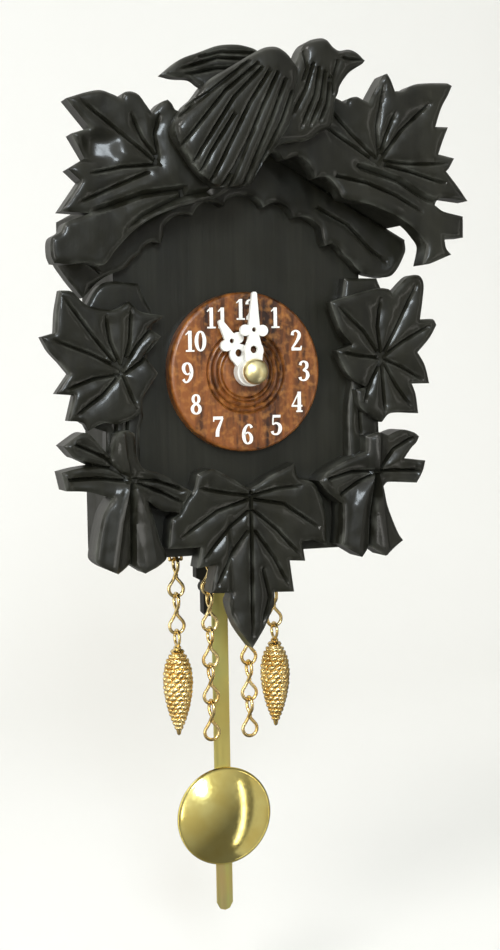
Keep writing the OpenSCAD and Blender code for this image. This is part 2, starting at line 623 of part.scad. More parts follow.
// eye in line with the strand, then a cone of stepped rows of scales
module cone(i) color([0.84, 0.68, 0.26]) translate([strand_x[i], chain_y, dial_z + staple_z - 1.15 - 2 * link_pitch]) {
    ring(false);
    rotate_extrude() polygon([[0, -2], [0.7, -2.1], [1, -2.9], [1.9, -3.2], [2.3, -4], [2.1, -4.2], [2.8, -5.6],
        [2.6, -5.8], [3.3, -7.4], [3.1, -7.6], [3.7, -9.2], [3.5, -9.4], [4, -11], [3.8, -11.2], [4.1, -12.8],
        [3.9, -13], [4, -14.6], [3.8, -14.8], [3.8, -16.4], [3.5, -16.6], [3.4, -18.2], [3.1, -18.4],
        [2.9, -20], [2.6, -20.2], [2.3, -21.8], [2, -22], [1.6, -23.6], [1.2, -24.8], [0.5, -25.7], [0, -26]]);
}

module cone_left() cone(0);

module cone_right() cone(3);

front_panel();
left_side();
right_side();
bottom_board();
roof_left();
roof_right();
gable_lace();
hanger_board();
rear_rail();
wall_stand_off();
back_board();
back_blocks();
back_screws();
crown_carving();
bird();
left_column();
right_column();
bottom_leaf();
dial();
front_plate();
back_plate();
pillars();
movement_studs();
minute_stud();
click_work();
chain_staples();
centre_arbor();
centre_wheel();
cannon_pipe();
cannon_pinion();
minute_hand();
hand_nut();
hour_wheel();
hour_pipe();
hour_hand();
minute_wheel();
great_wheel();
barrel_drum();
mainspring();
barrel_arbor();
ratchet_wheel();
winding_key();
third_arbor();
third_wheel();
fourth_arbor();
fourth_wheel();
escape_arbor();
escape_wheel();
pallets();
pendulum_hook();
pendulum_rod();
pendulum_bob();
bob_clip();
strand_1();
strand_2();
strand_3();
strand_4();
cone_left();
cone_right();
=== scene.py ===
import math

import bmesh
import bpy
import numpy as np
from mathutils import Matrix, Vector, geometry


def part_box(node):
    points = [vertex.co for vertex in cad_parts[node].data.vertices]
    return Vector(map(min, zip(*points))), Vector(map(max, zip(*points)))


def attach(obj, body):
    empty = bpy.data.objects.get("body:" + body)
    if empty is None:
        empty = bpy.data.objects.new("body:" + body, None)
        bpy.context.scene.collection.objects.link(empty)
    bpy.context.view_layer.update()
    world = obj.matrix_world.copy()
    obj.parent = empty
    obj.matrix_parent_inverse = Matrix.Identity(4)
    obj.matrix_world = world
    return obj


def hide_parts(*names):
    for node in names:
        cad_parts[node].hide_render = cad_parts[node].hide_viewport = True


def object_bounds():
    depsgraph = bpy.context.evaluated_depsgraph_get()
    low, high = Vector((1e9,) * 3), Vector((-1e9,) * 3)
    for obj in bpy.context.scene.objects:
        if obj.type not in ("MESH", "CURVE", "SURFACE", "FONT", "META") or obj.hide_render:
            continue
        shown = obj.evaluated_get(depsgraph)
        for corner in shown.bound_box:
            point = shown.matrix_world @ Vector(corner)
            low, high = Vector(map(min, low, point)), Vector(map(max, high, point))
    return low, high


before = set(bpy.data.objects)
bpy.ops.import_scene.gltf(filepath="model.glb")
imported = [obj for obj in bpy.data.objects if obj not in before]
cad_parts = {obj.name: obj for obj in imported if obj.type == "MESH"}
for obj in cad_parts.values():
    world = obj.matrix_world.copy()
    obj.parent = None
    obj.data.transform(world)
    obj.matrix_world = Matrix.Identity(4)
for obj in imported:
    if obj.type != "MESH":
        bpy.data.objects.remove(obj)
cad_box = [list(corner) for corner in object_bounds()]

# The case boards: two sides, two roof boards, the bottom board and the rear rail, sawn
# from thin softwood, glued together and brushed with a thin black stain that dries satin.

MM = 0.001
DIAL_Z = -0.040


def add(tree, kind, props=None, **sockets):
    """Adds a node. Inputs are given by name, or by number as i0, i1 and so on."""
    made = tree.nodes.new(kind)
    for key, value in (props or {}).items():
        setattr(made, key, value)
    for key, value in sockets.items():
        number = key[1:] if key[0] == "i" else ""
        socket = made.inputs[int(number) if number.isdigit() else key.replace("_", " ")]
        if isinstance(value, bpy.types.NodeSocket):
            tree.links.new(value, socket)
        else:
            socket.default_value = value
    return made


def new_group(name, inputs, outputs):
    group = bpy.data.node_groups.new(name, "ShaderNodeTree")
    for label, value in inputs:
        made = group.interface.new_socket(label, in_out="INPUT", socket_type="NodeSocketFloat")
        made.default_value = value
    for label in outputs:
        group.interface.new_socket(label, in_out="OUTPUT", socket_type="NodeSocketFloat")
    return group, group.nodes.new("NodeGroupInput"), group.nodes.new("NodeGroupOutput")


def maths(tree, operation, first, second):
    return add(tree, "ShaderNodeMath", {"operation": operation}, i0=first, i1=second).outputs[0]


def vectors(tree, operation, first, second):
    return add(tree, "ShaderNodeVectorMath", {"operation": operation}, i0=first, i1=second).outputs[0]


def remap(tree, value, low, high, to_low=0.0, to_high=1.0):
    return add(tree, "ShaderNodeMapRange", Value=value, From_Min=low, From_Max=high,
               To_Min=to_low, To_Max=to_high).outputs["Result"]


def colour_between(tree, amount, first, second):
    mix = add(tree, "ShaderNodeMix", {"data_type": "RGBA"}, i0=amount)
    for index, value in ((6, first), (7, second)):
        if isinstance(value, bpy.types.NodeSocket):
            tree.links.new(value, mix.inputs[index])
        else:
            mix.inputs[index].default_value = (*value, 1)
    return mix.outputs[2]


# wood grain along Z: long fine streaks, and slow light and dark bands across them
grain, grain_in, grain_out = new_group(
    "wood_grain", [("Across", 900), ("Along", 0.05), ("Seed", 0)], ["Streak", "Band"])
spot = add(grain, "ShaderNodeTexCoord").outputs["Object"]
across = grain_in.outputs["Across"]
stretch = add(grain, "ShaderNodeCombineXYZ", X=1.0, Y=1.0, Z=grain_in.outputs["Along"]).outputs[0]
long = vectors(grain, "MULTIPLY", vectors(grain, "ADD", spot, grain_in.outputs["Seed"]), stretch)
streak = add(grain, "ShaderNodeTexNoise", Vector=long, Scale=across, Detail=4.0, Roughness=0.6)
slow = maths(grain, "MULTIPLY", across, 0.14)
band = add(grain, "ShaderNodeTexNoise", Vector=long, Scale=slow, Detail=2.0, Distortion=0.6)
grain.links.new(streak.outputs[0], grain_out.inputs["Streak"])
grain.links.new(band.outputs[0], grain_out.inputs["Band"])

# surface wobble: brush flow and small knocks in a hand-applied finish
wobble, wobble_in, wobble_out = new_group(
    "brushed_wobble", [("Size", 160), ("Fine", 1400)], ["Flow", "Speck"])
spot = add(wobble, "ShaderNodeTexCoord").outputs["Object"]
flow = add(wobble, "ShaderNodeTexNoise", Vector=spot, Scale=wobble_in.outputs["Size"], Detail=2.0)
speck = add(wobble, "ShaderNodeTexNoise", Vector=spot, Scale=wobble_in.outputs["Fine"], Detail=3.0)
wobble.links.new(flow.outputs[0], wobble_out.inputs["Flow"])
wobble.links.new(speck.outputs[0], wobble_out.inputs["Speck"])


def use(tree, group, **values):
    made = tree.nodes.new("ShaderNodeGroup")
    made.node_tree = group
    for key, value in values.items():
        made.inputs[key].default_value = value
    return made


def new_material(name, **plain):
    made = bpy.data.materials.new(name)
    made.use_nodes = True
    shader = made.node_tree.nodes["Principled BSDF"]
    for key, value in plain.items():
        shader.inputs[key.replace("_", " ")].default_value = value
    return made, made.node_tree, shader


def bump(tree, shader, height, distance, strength=1.0):
    made = add(tree, "ShaderNodeBump", Height=height, Distance=distance, Strength=strength)
    tree.links.new(made.outputs["Normal"], shader.inputs["Normal"])


def total(tree, first, second, weight):
    return maths(tree, "ADD", first, maths(tree, "MULTIPLY", second, weight))


def paint(tree, shader, colour, rough):
    tree.links.new(colour, shader.inputs["Base Color"])
    tree.links.new(rough, shader.inputs["Roughness"])


def wooden(name, dark, light, across, along, rough, depth, **plain):
    made, tree, shader = new_material(name, **plain)
    wood = use(tree, grain, Across=across, Along=along)
    flow = use(tree, wobble)
    mixed = total(tree, wood.outputs["Band"], wood.outputs["Streak"], 0.7)
    colour = colour_between(tree, remap(tree, mixed, 0.55, 1.15), dark, light)
    paint(tree, shader, colour, remap(tree, flow.outputs["Flow"], 0.3, 0.7, *rough))
    bump(tree, shader, total(tree, wood.outputs["Streak"], flow.outputs["Speck"], 0.3), depth)
    return made


def finish(material, *nodes):
    for name in nodes:
        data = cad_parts[name].data
        data.materials.clear()
        data.materials.append(material)


black_stain = wooden("black_stain", (0.008, 0.0082, 0.006), (0.022, 0.022, 0.016), 700, 0.05,
                     (0.45, 0.6), 0.06 * MM, Specular_IOR_Level=0.25)
finish(black_stain, "left_side", "right_side", "roof_left", "roof_right", "bottom_board", "rear_rail",
       "wall_stand_off")

# The rear: hanger board with the hanging hole, the thin back board and its corner
# blocks, all left as plain unfinished wood, with four slotted steel screws.

plain_wood = wooden("plain_wood", (0.20, 0.115, 0.055), (0.42, 0.28, 0.155), 620, 0.045,
                    (0.5, 0.68), 0.05 * MM)
finish(plain_wood, "hanger_board", "back_board", "back_blocks")


def metal(name, dark, light, rough, scale, depth, **plain):
    made, tree, shader = new_material(name, Metallic=1.0, **plain)
    flow = use(tree, wobble, Size=scale, Fine=scale * 9)
    colour = colour_between(tree, remap(tree, flow.outputs["Flow"], 0.35, 0.65), dark, light)
    paint(tree, shader, colour, remap(tree, flow.outputs["Speck"], 0.3, 0.7, *rough))
    bump(tree, shader, flow.outputs["Speck"], depth)
    return made


steel = metal("bright_steel", (0.48, 0.48, 0.5), (0.66, 0.66, 0.68), (0.22, 0.38), 300, 0.004 * MM)
finish(steel, "back_screws", "movement_studs", "minute_stud", "click_work", "centre_arbor", "third_arbor",
       "fourth_arbor", "escape_arbor", "barrel_arbor", "ratchet_wheel", "mainspring", "pallets")

# The movement: two brass plates on turned pillars with brass wheels between them, the
# motion work in front, and a stamped brass winding key behind.

brass = metal("clock_brass", (0.62, 0.44, 0.16), (0.80, 0.61, 0.27), (0.24, 0.4), 220, 0.004 * MM)
finish(brass, "front_plate", "back_plate", "pillars", "centre_wheel", "cannon_pipe", "cannon_pinion",
       "hour_wheel", "hour_pipe", "minute_wheel", "great_wheel", "barrel_drum", "third_wheel",
       "fourth_wheel", "escape_wheel", "winding_key", "pendulum_hook", "bob_clip")

# The front panel: a thin board with upright grain under black lacquer.

black_lacquer = wooden("black_lacquer", (0.0095, 0.0093, 0.0064), (0.0205, 0.0202, 0.014), 800, 0.04,
                       (0.36, 0.5), 0.06 * MM, Coat_Weight=0.12, Coat_Roughness=0.25,
                       Specular_IOR_Level=0.24)
finish(black_lacquer, "front_panel")

# The carvings: leaves, ribbons, bird and scalloped lace, knife-cut from thin limewood with
# V-gouged veins and softened edges, then lacquered black and glued to the case front.

carving_black, tree, shader = new_material("carving_black", Coat_Weight=0.3, Coat_Roughness=0.16,
                                           Specular_IOR_Level=0.2)
wood = use(tree, grain, Across=600, Along=0.12)
flow = use(tree, wobble, Size=210, Fine=1500)
# edge attribute: rubbed wear at the rims and painted highlight lines along the shoulders of the V cuts
edge = add(tree, "ShaderNodeAttribute", {"attribute_name": "edge"}).outputs["Fac"]
tone = remap(tree, total(tree, wood.outputs["Band"], wood.outputs["Streak"], 0.5), 0.5, 1.0)
body_tone = colour_between(tree, tone, (0.006, 0.0059, 0.004), (0.0155, 0.0152, 0.0102))
# the pale colour below is both lacquer rubbed through at the rims and painted highlight on the cut shoulders
worn_and_glint = maths(tree, "MULTIPLY", edge, remap(tree, flow.outputs["Flow"], 0.42, 0.68, 0.0, 0.8))
paint(tree, shader, colour_between(tree, worn_and_glint, body_tone, (0.085, 0.088, 0.074)),
      remap(tree, flow.outputs["Flow"], 0.3, 0.7, 0.3, 0.5))
lumpy = total(tree, flow.outputs["Flow"], wood.outputs["Streak"], 0.6)
bump(tree, shader, total(tree, lumpy, flow.outputs["Speck"], 0.25), 0.1 * MM)


def size_of(rows):
    return np.linalg.norm(rows, axis=-1)


def smooth_outline(points, step, sharp=60):
    """Curves through the points, with a corner kept where the outline turns by more than sharp degrees."""
    p = np.array(points, float)
    before, after = np.roll(p, 1, 0), np.roll(p, -1, 0)
    a, b = p - before, after - p
    turn = np.degrees(np.arccos(np.clip((a * b).sum(1) / size_of(a) / size_of(b), -1, 1)))
    out = []
    for i in range(len(p)):
        j = (i + 1) % len(p)
        start, end = p[i], p[j]
        chord = end - start
        leave = chord if turn[i] > sharp else (end - before[i]) / 2
        arrive = chord if turn[j] > sharp else (after[j] - start) / 2
        length = size_of(chord)
        leave, arrive = [t * min(1, length / size_of(t)) for t in (leave, arrive)]
        count = max(1, int(round(length / step)))
        for u in np.arange(count) / count:
            out.append((2 * u ** 3 - 3 * u ** 2 + 1) * start + (u ** 3 - 2 * u ** 2 + u) * leave
                       + (3 * u ** 2 - 2 * u ** 3) * end + (u ** 3 - u ** 2) * arrive)
    return np.array(out)


def far(points, a, b):
    """Distance from each point to the segment a-b, and how far along it the foot lies."""
    ab = b - a
    t = np.clip(((points - a) @ ab) / max(ab @ ab, 1e-9), 0, 1)
    return size_of(points - (a + t[:, None] * ab)), t


def path_far(points, path):
    return np.min([far(points, a, b)[0] for a, b in zip(path[:-1], path[1:])], axis=0)


def inside(points, loop):
    """Which points lie within the closed loop."""
    hit = np.zeros(len(points), bool)
    x, y = points[:, 0], points[:, 1]
    for (x0, y0), (x1, y1) in zip(loop, np.roll(loop, -1, 0)):
        if y0 != y1:
            hit ^= ((y0 > y) != (y1 > y)) & (x < (x1 - x0) * (y - y0) / (y1 - y0) + x0)
    return hit


def along(path, step):
    """Points along a broken line, about a step apart."""
    out = []
    for a, b in zip(path[:-1], path[1:]):
        count = max(1, int(size_of(b - a) / step))
        out += [a + (b - a) * k / count for k in range(count)]
    return np.array(out + [path[-1]])


def sideways(way):
    """Unit steps to the left of each step of a course."""
    return np.stack([-way[:, 1], way[:, 0]], 1) / size_of(way)[:, None]


def rim_far(points, loop, reach=6.0):
    """Distance from each point to the outline, no more than reach."""
    best = np.full(len(points), reach)
    for a, b in zip(loop, np.roll(loop, -1, 0)):
        near = (np.abs(points[:, 0] - a[0]) < reach) & (np.abs(points[:, 1] - a[1]) < reach)
        if near.any():
            best[near] = np.minimum(best[near], far(points[near], a, b)[0])
    return best


RIM_ROWS = (0.3, 0.62)      # mm in from the edge, where rows of points keep the softened rim even
BROAD = 1.3                 # mm, from which a ridge needs no rows of points along its sides


def carving_points(loop, cuts, step):
    """The outline, a grid inside it, and rows of points that follow the rim and both sides of each cut."""
    low, high = loop.min(0), loop.max(0)
    rows = []
    for row, z in enumerate(np.arange(low[1], high[1], step * 0.866)):
        xs = np.arange(low[0] + (row % 2) * step / 2, high[0], step)
        rows.append(np.stack([xs, np.full(len(xs), z)], 1))
    grid = np.concatenate(rows)
    grid = grid[inside(grid, loop)]
    grid = grid[rim_far(grid, loop) > RIM_ROWS[-1] + step * 0.45]
    lines = [along(np.array(path, float), step * 0.8) for path, _, _ in cuts]
    widths = [width if width < BROAD else 0 for _, width, _ in cuts]
    for line, width in zip(lines, widths):
        grid = grid[path_far(grid, line) > width + step * 0.42]
    inward = sideways(np.roll(loop, -1, 0) - np.roll(loop, 1, 0))
    if not inside((loop + inward * 0.02)[:1], loop)[0]:
        inward = -inward
    kept = [loop, grid]
    for off in RIM_ROWS:
        ring = loop + inward * off
        ring = ring[inside(ring, loop)]
        kept.append(ring[rim_far(ring, loop) > off * 0.93])
    for line, width in zip(lines, widths):
        middle = line[inside(line, loop)]
        kept.append(middle[rim_far(middle, loop) > 0.25])
        across = sideways(np.gradient(line, axis=0)) * width
        for shoulder in (line + across, line - across) if width else ():
            shoulder = shoulder[inside(shoulder, loop)]
            shoulder = shoulder[rim_far(shoulder, loop) > 0.8]
            for other, wide in zip(lines, widths):
                if len(shoulder):
                    shoulder = shoulder[path_far(shoulder, other) > max(wide, 0.4) * 0.97]
            kept.append(shoulder)
    return np.concatenate(kept)


def carve(name, outline, back, front, cuts, swell=0.8, spread=1.3, edge_drop=0.75, step=0.5, wave=0.05,
          shape=None, fade_out=5):
    """A closed carved piece. outline and cuts are in mm about the dial's centre, back and front in mm of
    depth. A cut is (points, width, depth): a V gouge that fades towards its last point, or a ridge if its
    depth is negative."""
    loop = smooth_outline(outline, step)
    ring = list(range(len(loop)))
    made = geometry.delaunay_2d_cdt([Vector(spot) for spot in carving_points(loop, cuts, step)],
                                    list(zip(ring, ring[1:] + ring[:1])), [ring], 1, 1e-6)
    flat, faces = np.array([list(spot) for spot in made[0]]), made[2]
    d_edge = rim_far(flat, loop)
    d_cut = np.full(len(flat), 1e9)
    groove, ridge = np.zeros(len(flat)), np.zeros(len(flat))
    # mask for the edge attribute: real rubbed wear along the outline, plus painted highlight lines along the
    # shoulders of each V cut
    wear_and_glint = np.exp(-d_edge / 0.35)
    for path, width, depth in cuts:
        path = np.array(path, float)
        lengths = [size_of(b - a) for a, b in zip(path[:-1], path[1:])]
        done = 0
        for a, b, length in zip(path[:-1], path[1:], lengths):
            d, t = far(flat, a, b)
            fade = np.clip((1 - (done + t * length) / sum(lengths)) * fade_out, 0, 1) ** 0.6
            form = abs(depth) * fade * np.clip(1 - d / width, 0, 1)
            if depth > 0:
                groove = np.maximum(groove, form)
                d_cut = np.minimum(d_cut, d + (1 - fade) * 3)
                # painted highlight: a thin lighter line along each shoulder of the V gouge, in place of gloss
                # catching the light
                wear_and_glint = np.maximum(wear_and_glint, 0.6 * fade * np.exp(-np.abs(d - width) / 0.08))
            else:
                ridge = np.maximum(ridge, form)
            done += length
    x, z = flat[:, 0], flat[:, 1]
    height = back - front - swell * np.exp(-d_cut / spread) - edge_drop * np.exp(-(d_edge / 0.5) ** 1.2)
    height += np.minimum(ridge, swell) - groove
    height += wave * np.sin(x * 0.9 + 1.7 * np.sin(z * 0.37)) * np.sin(z * 0.8 + x * 0.21)
    if shape is not None:
        height += shape(x, z, d_edge)
    deep = np.concatenate([back - np.clip(height, 0.6, None), np.full(len(flat), float(back))])
    places = np.stack([np.tile(x, 2) * MM, deep * MM, np.tile(z, 2) * MM + DIAL_Z], 1)
    count = len(flat)
    sides = dict.fromkeys((a, b) for f in faces for a, b in zip(f, f[1:] + f[:1]))
    polygons = [tuple(f) for f in faces] + [tuple(i + count for i in reversed(f)) for f in faces]
    polygons += [(b, a, a + count, b + count) for a, b in sides if (b, a) not in sides]
    mesh = bpy.data.meshes.new(name)
    mesh.from_pydata(places.tolist(), [], polygons)
    # the rim wear and painted cut-shoulder highlights, stored as the edge attribute
    wear_and_glint = np.concatenate([wear_and_glint, np.zeros(count)]).astype(np.float32)
    mesh.attributes.new("edge", "FLOAT", "POINT").data.foreach_set("value", wear_and_glint)
    return settle(name, mesh, carving_black, "case", 34)


def settle(name, mesh, material, body, angle=40):
    """Closes off a new mesh: outward faces, smooth shading up to the angle, material, body."""
    piece = bpy.data.objects.new(name, mesh)
    bpy.context.scene.collection.objects.link(piece)
    work = bmesh.new()
    work.from_mesh(mesh)
    bmesh.ops.recalc_face_normals(work, faces=work.faces)
    work.to_mesh(mesh)
    work.free()
    mesh.materials.clear()
    mesh.materials.append(material)
    mesh.shade_smooth()
    mesh.set_sharp_from_angle(angle=math.radians(angle))
    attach(piece, body)
    return piece


def v(*points, width=0.55, depth=0.75):
    """One knife cut, in mm."""
    return points, width, depth


def fold(*points, width, crest):
    """A raised fold: a broad rise with a narrow crest along it."""
    return v(*points, depth=-0.9, width=width), v(*points, depth=-1.5, width=crest)


crown = carve("crown_leaves", [
    (-48, 63.5), (-43.5, 65), (-40, 65.7), (-37.3, 65), (-34.8, 64), (-34.3, 65.3), (-32.5, 65.7),
    (-30.6, 65), (-29, 63), (-27.5, 61), (-25.2, 63.5), (-23.5, 64.2), (-22.5, 63.3), (-21.4, 61.8),
    (-16, 62), (0, 66), (18, 66.8), (22.4, 65.3), (23, 66.4), (25.1, 67), (26.8, 66.4), (28.4, 65.8),
    (30.6, 69.5), (32.6, 72.6), (33.6, 73), (34.5, 71.6), (35.7, 68.8), (38, 69.1), (40.5, 70.5),
    (43.8, 71.1), (50.1, 71.4), (51.5, 70.8), (50.5, 68.7), (48.4, 65), (46.8, 60.5), (50.3, 60.5),
    (48.8, 57), (47.6, 53.7), (52, 52.8), (50.5, 50.3), (49.7, 49.5), (52.6, 46.2), (55.7, 42.2),
    (48, 42.8), (46.5, 41), (48.8, 39.5), (54.3, 38.3), (54.3, 33), (49, 32.8), (49.5, 30.3),
    (50.9, 28.7), (45, 26.4), (42.8, 26), (43.8, 30.8), (42.2, 33.3), (39.7, 35.8), (35.5, 38.3),
    (31.3, 39.9), (27.2, 41.2), (21.3, 42.2), (20, 44.5), (18.4, 46.6), (16.3, 47.4), (14, 47),
    (13.4, 48.7), (11.8, 51), (9.3, 52.2), (7, 51.4), (5.7, 51.4), (4.3, 52.8), (2.6, 53), (0.9, 50.8),
    (-4, 47), (-11, 42), (-15, 41), (-22, 39), (-28, 36.5), (-33, 33), (-37, 29), (-40, 25.5), (-44, 26),
    (-48.5, 25.6), (-51.8, 25.8), (-52.5, 27.8), (-52.3, 31.4), (-50, 33), (-48.9, 35), (-43, 37.3),
    (-50, 37.7),
    (-45, 44.7), (-48, 47.4), (-43.7, 50), (-47, 55.5), (-42.5, 57)], -42, -48, [
    v((-26, 49), (-35, 56), (-45, 63.5)), v((-26, 50), (-30, 55), (-32.8, 61), depth=0.8),
    v((-27, 49), (-35, 48.2), (-43, 46.4), depth=0.9), v((-26, 51), (-27, 56), (-25.5, 61), depth=0.6),
    v((-29, 47), (-36, 44), (-46, 39.5), depth=0.7),
    v((-20, 43.5), (-30, 42), (-37, 39.5), (-43, 37.6), depth=1.3, width=1),
    v((-14, 43), (-20, 41.8), (-25, 39.6), (-30, 37), (-35, 33), depth=0.9, width=1),
    v((31, 51.5), (24, 57.5), (17, 64.5)), v((30.5, 51), (24, 55), (16.5, 59.5), depth=0.8),
    v((31, 52), (33, 58), (35.8, 64), depth=0.8), v((31.5, 52), (37, 59), (45.5, 66.5)),
    v((31, 52), (30.5, 60), (32.8, 71), depth=0.5), v((32.5, 51.5), (40, 51), (50, 51.4), depth=0.6),
    v((33, 50.5), (40, 49), (49.5, 46.3), depth=0.9), v((20, 47.5), (28, 46), (36, 43), (43, 39), depth=0.9),
    v((26, 50), (36, 47), (44, 42.6), (48, 41.4), depth=1.2, width=1)],
    swell=0.95, spread=1.5, edge_drop=0.75,
    shape=lambda x, z, d: -np.clip(0.25 * (-34 - x) + 0.1 * (z - 48), 0, 3.2)
    * np.exp(-((x + 39.5) / 4.6) ** 4 - ((z - 52.2) / 3.6) ** 4))

wing_far = carve("bird_far_wing", [
    (-25.8, 69.5), (-21.4, 73), (-16.8, 74.9), (-11.8, 76.8), (-7.5, 77.3), (-4.3, 77), (-1.6, 76), (3, 70),
    (-8, 64), (-16.2, 67.4), (-18.5, 68.8), (-22.7, 68.9)], -47, -51, [
    v((-2, 74), (-12, 74), (-22, 70.6), depth=0.7), v((-2, 72), (-12, 71.5), (-21, 69.4), depth=0.7),
    v((-3, 75.5), (-11, 75.4), (-18, 73.4), depth=0.5)], swell=1.0, spread=1.2, step=0.42)

bird_body = carve("bird_body", [
    (7.4, 74), (8.8, 77), (10.5, 78.7), (13.6, 79.5), (15.3, 79.1), (16.8, 77.6), (18.4, 76.8),
    (20.9, 77.2), (23, 76.6), (25.3, 74.9), (24.7, 74.1), (21.3, 72), (19.7, 70.3), (18.4, 68.3),
    (18, 66.8), (17, 64.5), (16.8, 62), (15.9, 58.7), (13.4, 57.4), (10, 55.3), (3, 54), (-2, 50),
    (-4, 46), (-8, 45.5), (-16, 48),
    (-20, 56), (-18, 62), (-10, 68), (0, 70), (5, 70.5)], -47, -54, [
    v((12.5, 72), (11.5, 66), (7.5, 57.5), depth=0.7), v((14, 71), (13, 65), (9.8, 58), depth=0.7),
    v((15.3, 70), (14.7, 64), (12.3, 59), depth=0.6), v((11, 73), (9, 67), (5, 60), depth=0.6),
    v((24.5, 74.9), (21, 74.7), (18, 75.2), depth=0.5, width=0.5),
    v((17.5, 73.8), (16.2, 70), (16.4, 65), depth=0.5),
    v((9, 76), (9.5, 72), (8, 68), depth=0.5)], swell=0.6, spread=0.8, step=0.42, wave=0,
    shape=lambda x, z, d: 1.1 * (1 - np.exp(-d / 2.2)) - 0.9)

wing_near = carve("bird_near_wing", [
    (1.1, 76.4), (3.6, 75.3), (5.3, 73.5), (6.8, 71), (5.6, 64), (4.6, 59), (2.3, 55.3), (-1.8, 50.3),
    (-4, 46.5), (-6, 43.9), (-10.2, 43.5), (-14.3, 43.7), (-18.5, 47), (-21, 50.5), (-24.3, 56.2),
    (-21.8, 61.4), (-19.3, 63.7),
    (-16, 67.6), (-10.6, 71), (-2.3, 75.8)], -50, -56, [
    v((-3, 71), (-10, 64), (-18, 52), (-20.5, 47.5)), v((-1, 70.5), (-6, 63), (-15, 46), (-16, 43.5)),
    v((1, 70), (-3, 62), (-10.5, 45), (-11, 42.5)), v((3, 68.5), (-0.5, 60), (-7, 45.5), (-8, 42.5)),
    v((4.8, 66), (2, 59), (-3, 49.5), (-5.5, 43.5)), v((-4, 72), (-12, 65.5), (-22, 53.5), (-23.5, 50.5)),
    v((-6, 72.5), (-14, 66.5), (-24.5, 58)), v((-10, 60), (-16, 51), (-18.5, 46)),
    v((-5, 57), (-10, 48), (-13.5, 42.5)), v((-8, 71), (-15, 65.5), (-22.5, 61))],
    swell=0.5, spread=0.7, step=0.42, edge_drop=0.8, wave=0, fade_out=30,
    shape=lambda x, z, d: 1.0 * (1 - np.exp(-d / 2.5)) - 0.8)

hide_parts("crown_carving")
for piece in (wing_far, bird_body, wing_near):
    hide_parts("bird")

lace_side = [(2.5, 43.6), (4.3, 42.5), (5.2, 41), (7, 42), (9.5, 42.2), (12, 41), (13.5, 38.7), (15.9, 38.9),
             (18.5, 38.1), (20.6, 36.2), (21.1, 33.6), (21.9, 31.6), (23.7, 32.1), (25.8, 31.1),
             (27.1, 29.3),
             (28.9, 28), (31, 25.6), (34.5, 24.2)]
lace = carve("gable_lace_board", [(0, 44.1)] + lace_side + [
    (40.4, 24.2), (44.3, 30), (44.3, 33.4), (22, 45.4), (0, 57.2), (-22, 45.4), (-46.5, 32.3),
    (-48.4, 28), (-46, 23.6),
    (-41.8, 18.4), (-37.5, 22.5)] + [(-x, z) for x, z in reversed(lace_side)], -30, -35, [
    v((-20, 41), (-28, 37), (-34, 31), (-40, 27), depth=0.9), v((-38, 25), (-42, 28), (-46, 31), depth=0.6),
    v((20, 41), (28, 37), (34, 31), (39, 27.5), depth=0.9), v((-36, 23), (-40.5, 20.5), depth=0.6)],
    swell=0.5, edge_drop=0.8, step=0.6)
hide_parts("gable_lace")

# side columns: a plain stem behind, a leaf above and a knotted ribbon below
left_stem = carve("left_stem", [
    (-36.5, 22), (-27.5, 22), (-26, 18), (-24, 14), (-25, 8), (-26, 3), (-29, -4), (-27, -10), (-28, -14),
    (-28, -30), (-37, -30), (-36.5, -14), (-43.2, -11), (-44, -5), (-46, -4), (-45, 0), (-47, 4),
    (-48, 10), (-47.4, 14),
    (-47, 18.6), (-45, 18.6), (-41.5, 15.5)], -30, -34, [
    v((-31, -8), (-31.5, -18), depth=0.6), v((-34, -12), (-34.4, -20), depth=0.6)], swell=0.6, edge_drop=0.7)
left_leaf = carve("left_leaf", [
    (-41.5, 16.7), (-45, 19.8), (-48, 20.1), (-49, 15), (-49.4, 10), (-52.8, 9.1), (-51, 5.8), (-48.5, 3),
    (-46.2, 0.2), (-49.6, -4.5), (-45.2, -4.9), (-46.8, -11), (-43.2, -11.5), (-41.8, -13.5),
    (-38, -11.8), (-34, -12), (-28.5, -9.5), (-28, -6), (-24, 0), (-27, 4), (-23, 9), (-26, 11),
    (-22, 14), (-28, 15), (-31, 17.5),
    (-35, 15.5)], -33.6, -37.4, [
    v((-33, 0.5), (-40, 9), (-47.5, 19)), v((-33, 1), (-41, 5), (-50.5, 8.6)),
    v((-33, 0), (-40, -1), (-47.5, -3.8)),
    v((-33, 0.5), (-38, -5), (-45, -10), depth=0.8), v((-33, 1), (-31, 8), (-30.5, 16)),
    v((-33, 1), (-29, 7), (-23.5, 13.2)), v((-32.5, 0), (-28, 3), (-24.5, 8), depth=0.7),
    v((-33, 0), (-31, -5), (-29.5, -8.5), depth=0.7), v((-33.5, 2), (-36, 8), (-37, 14.5), depth=0.7)],
    swell=1.0, spread=1.3)
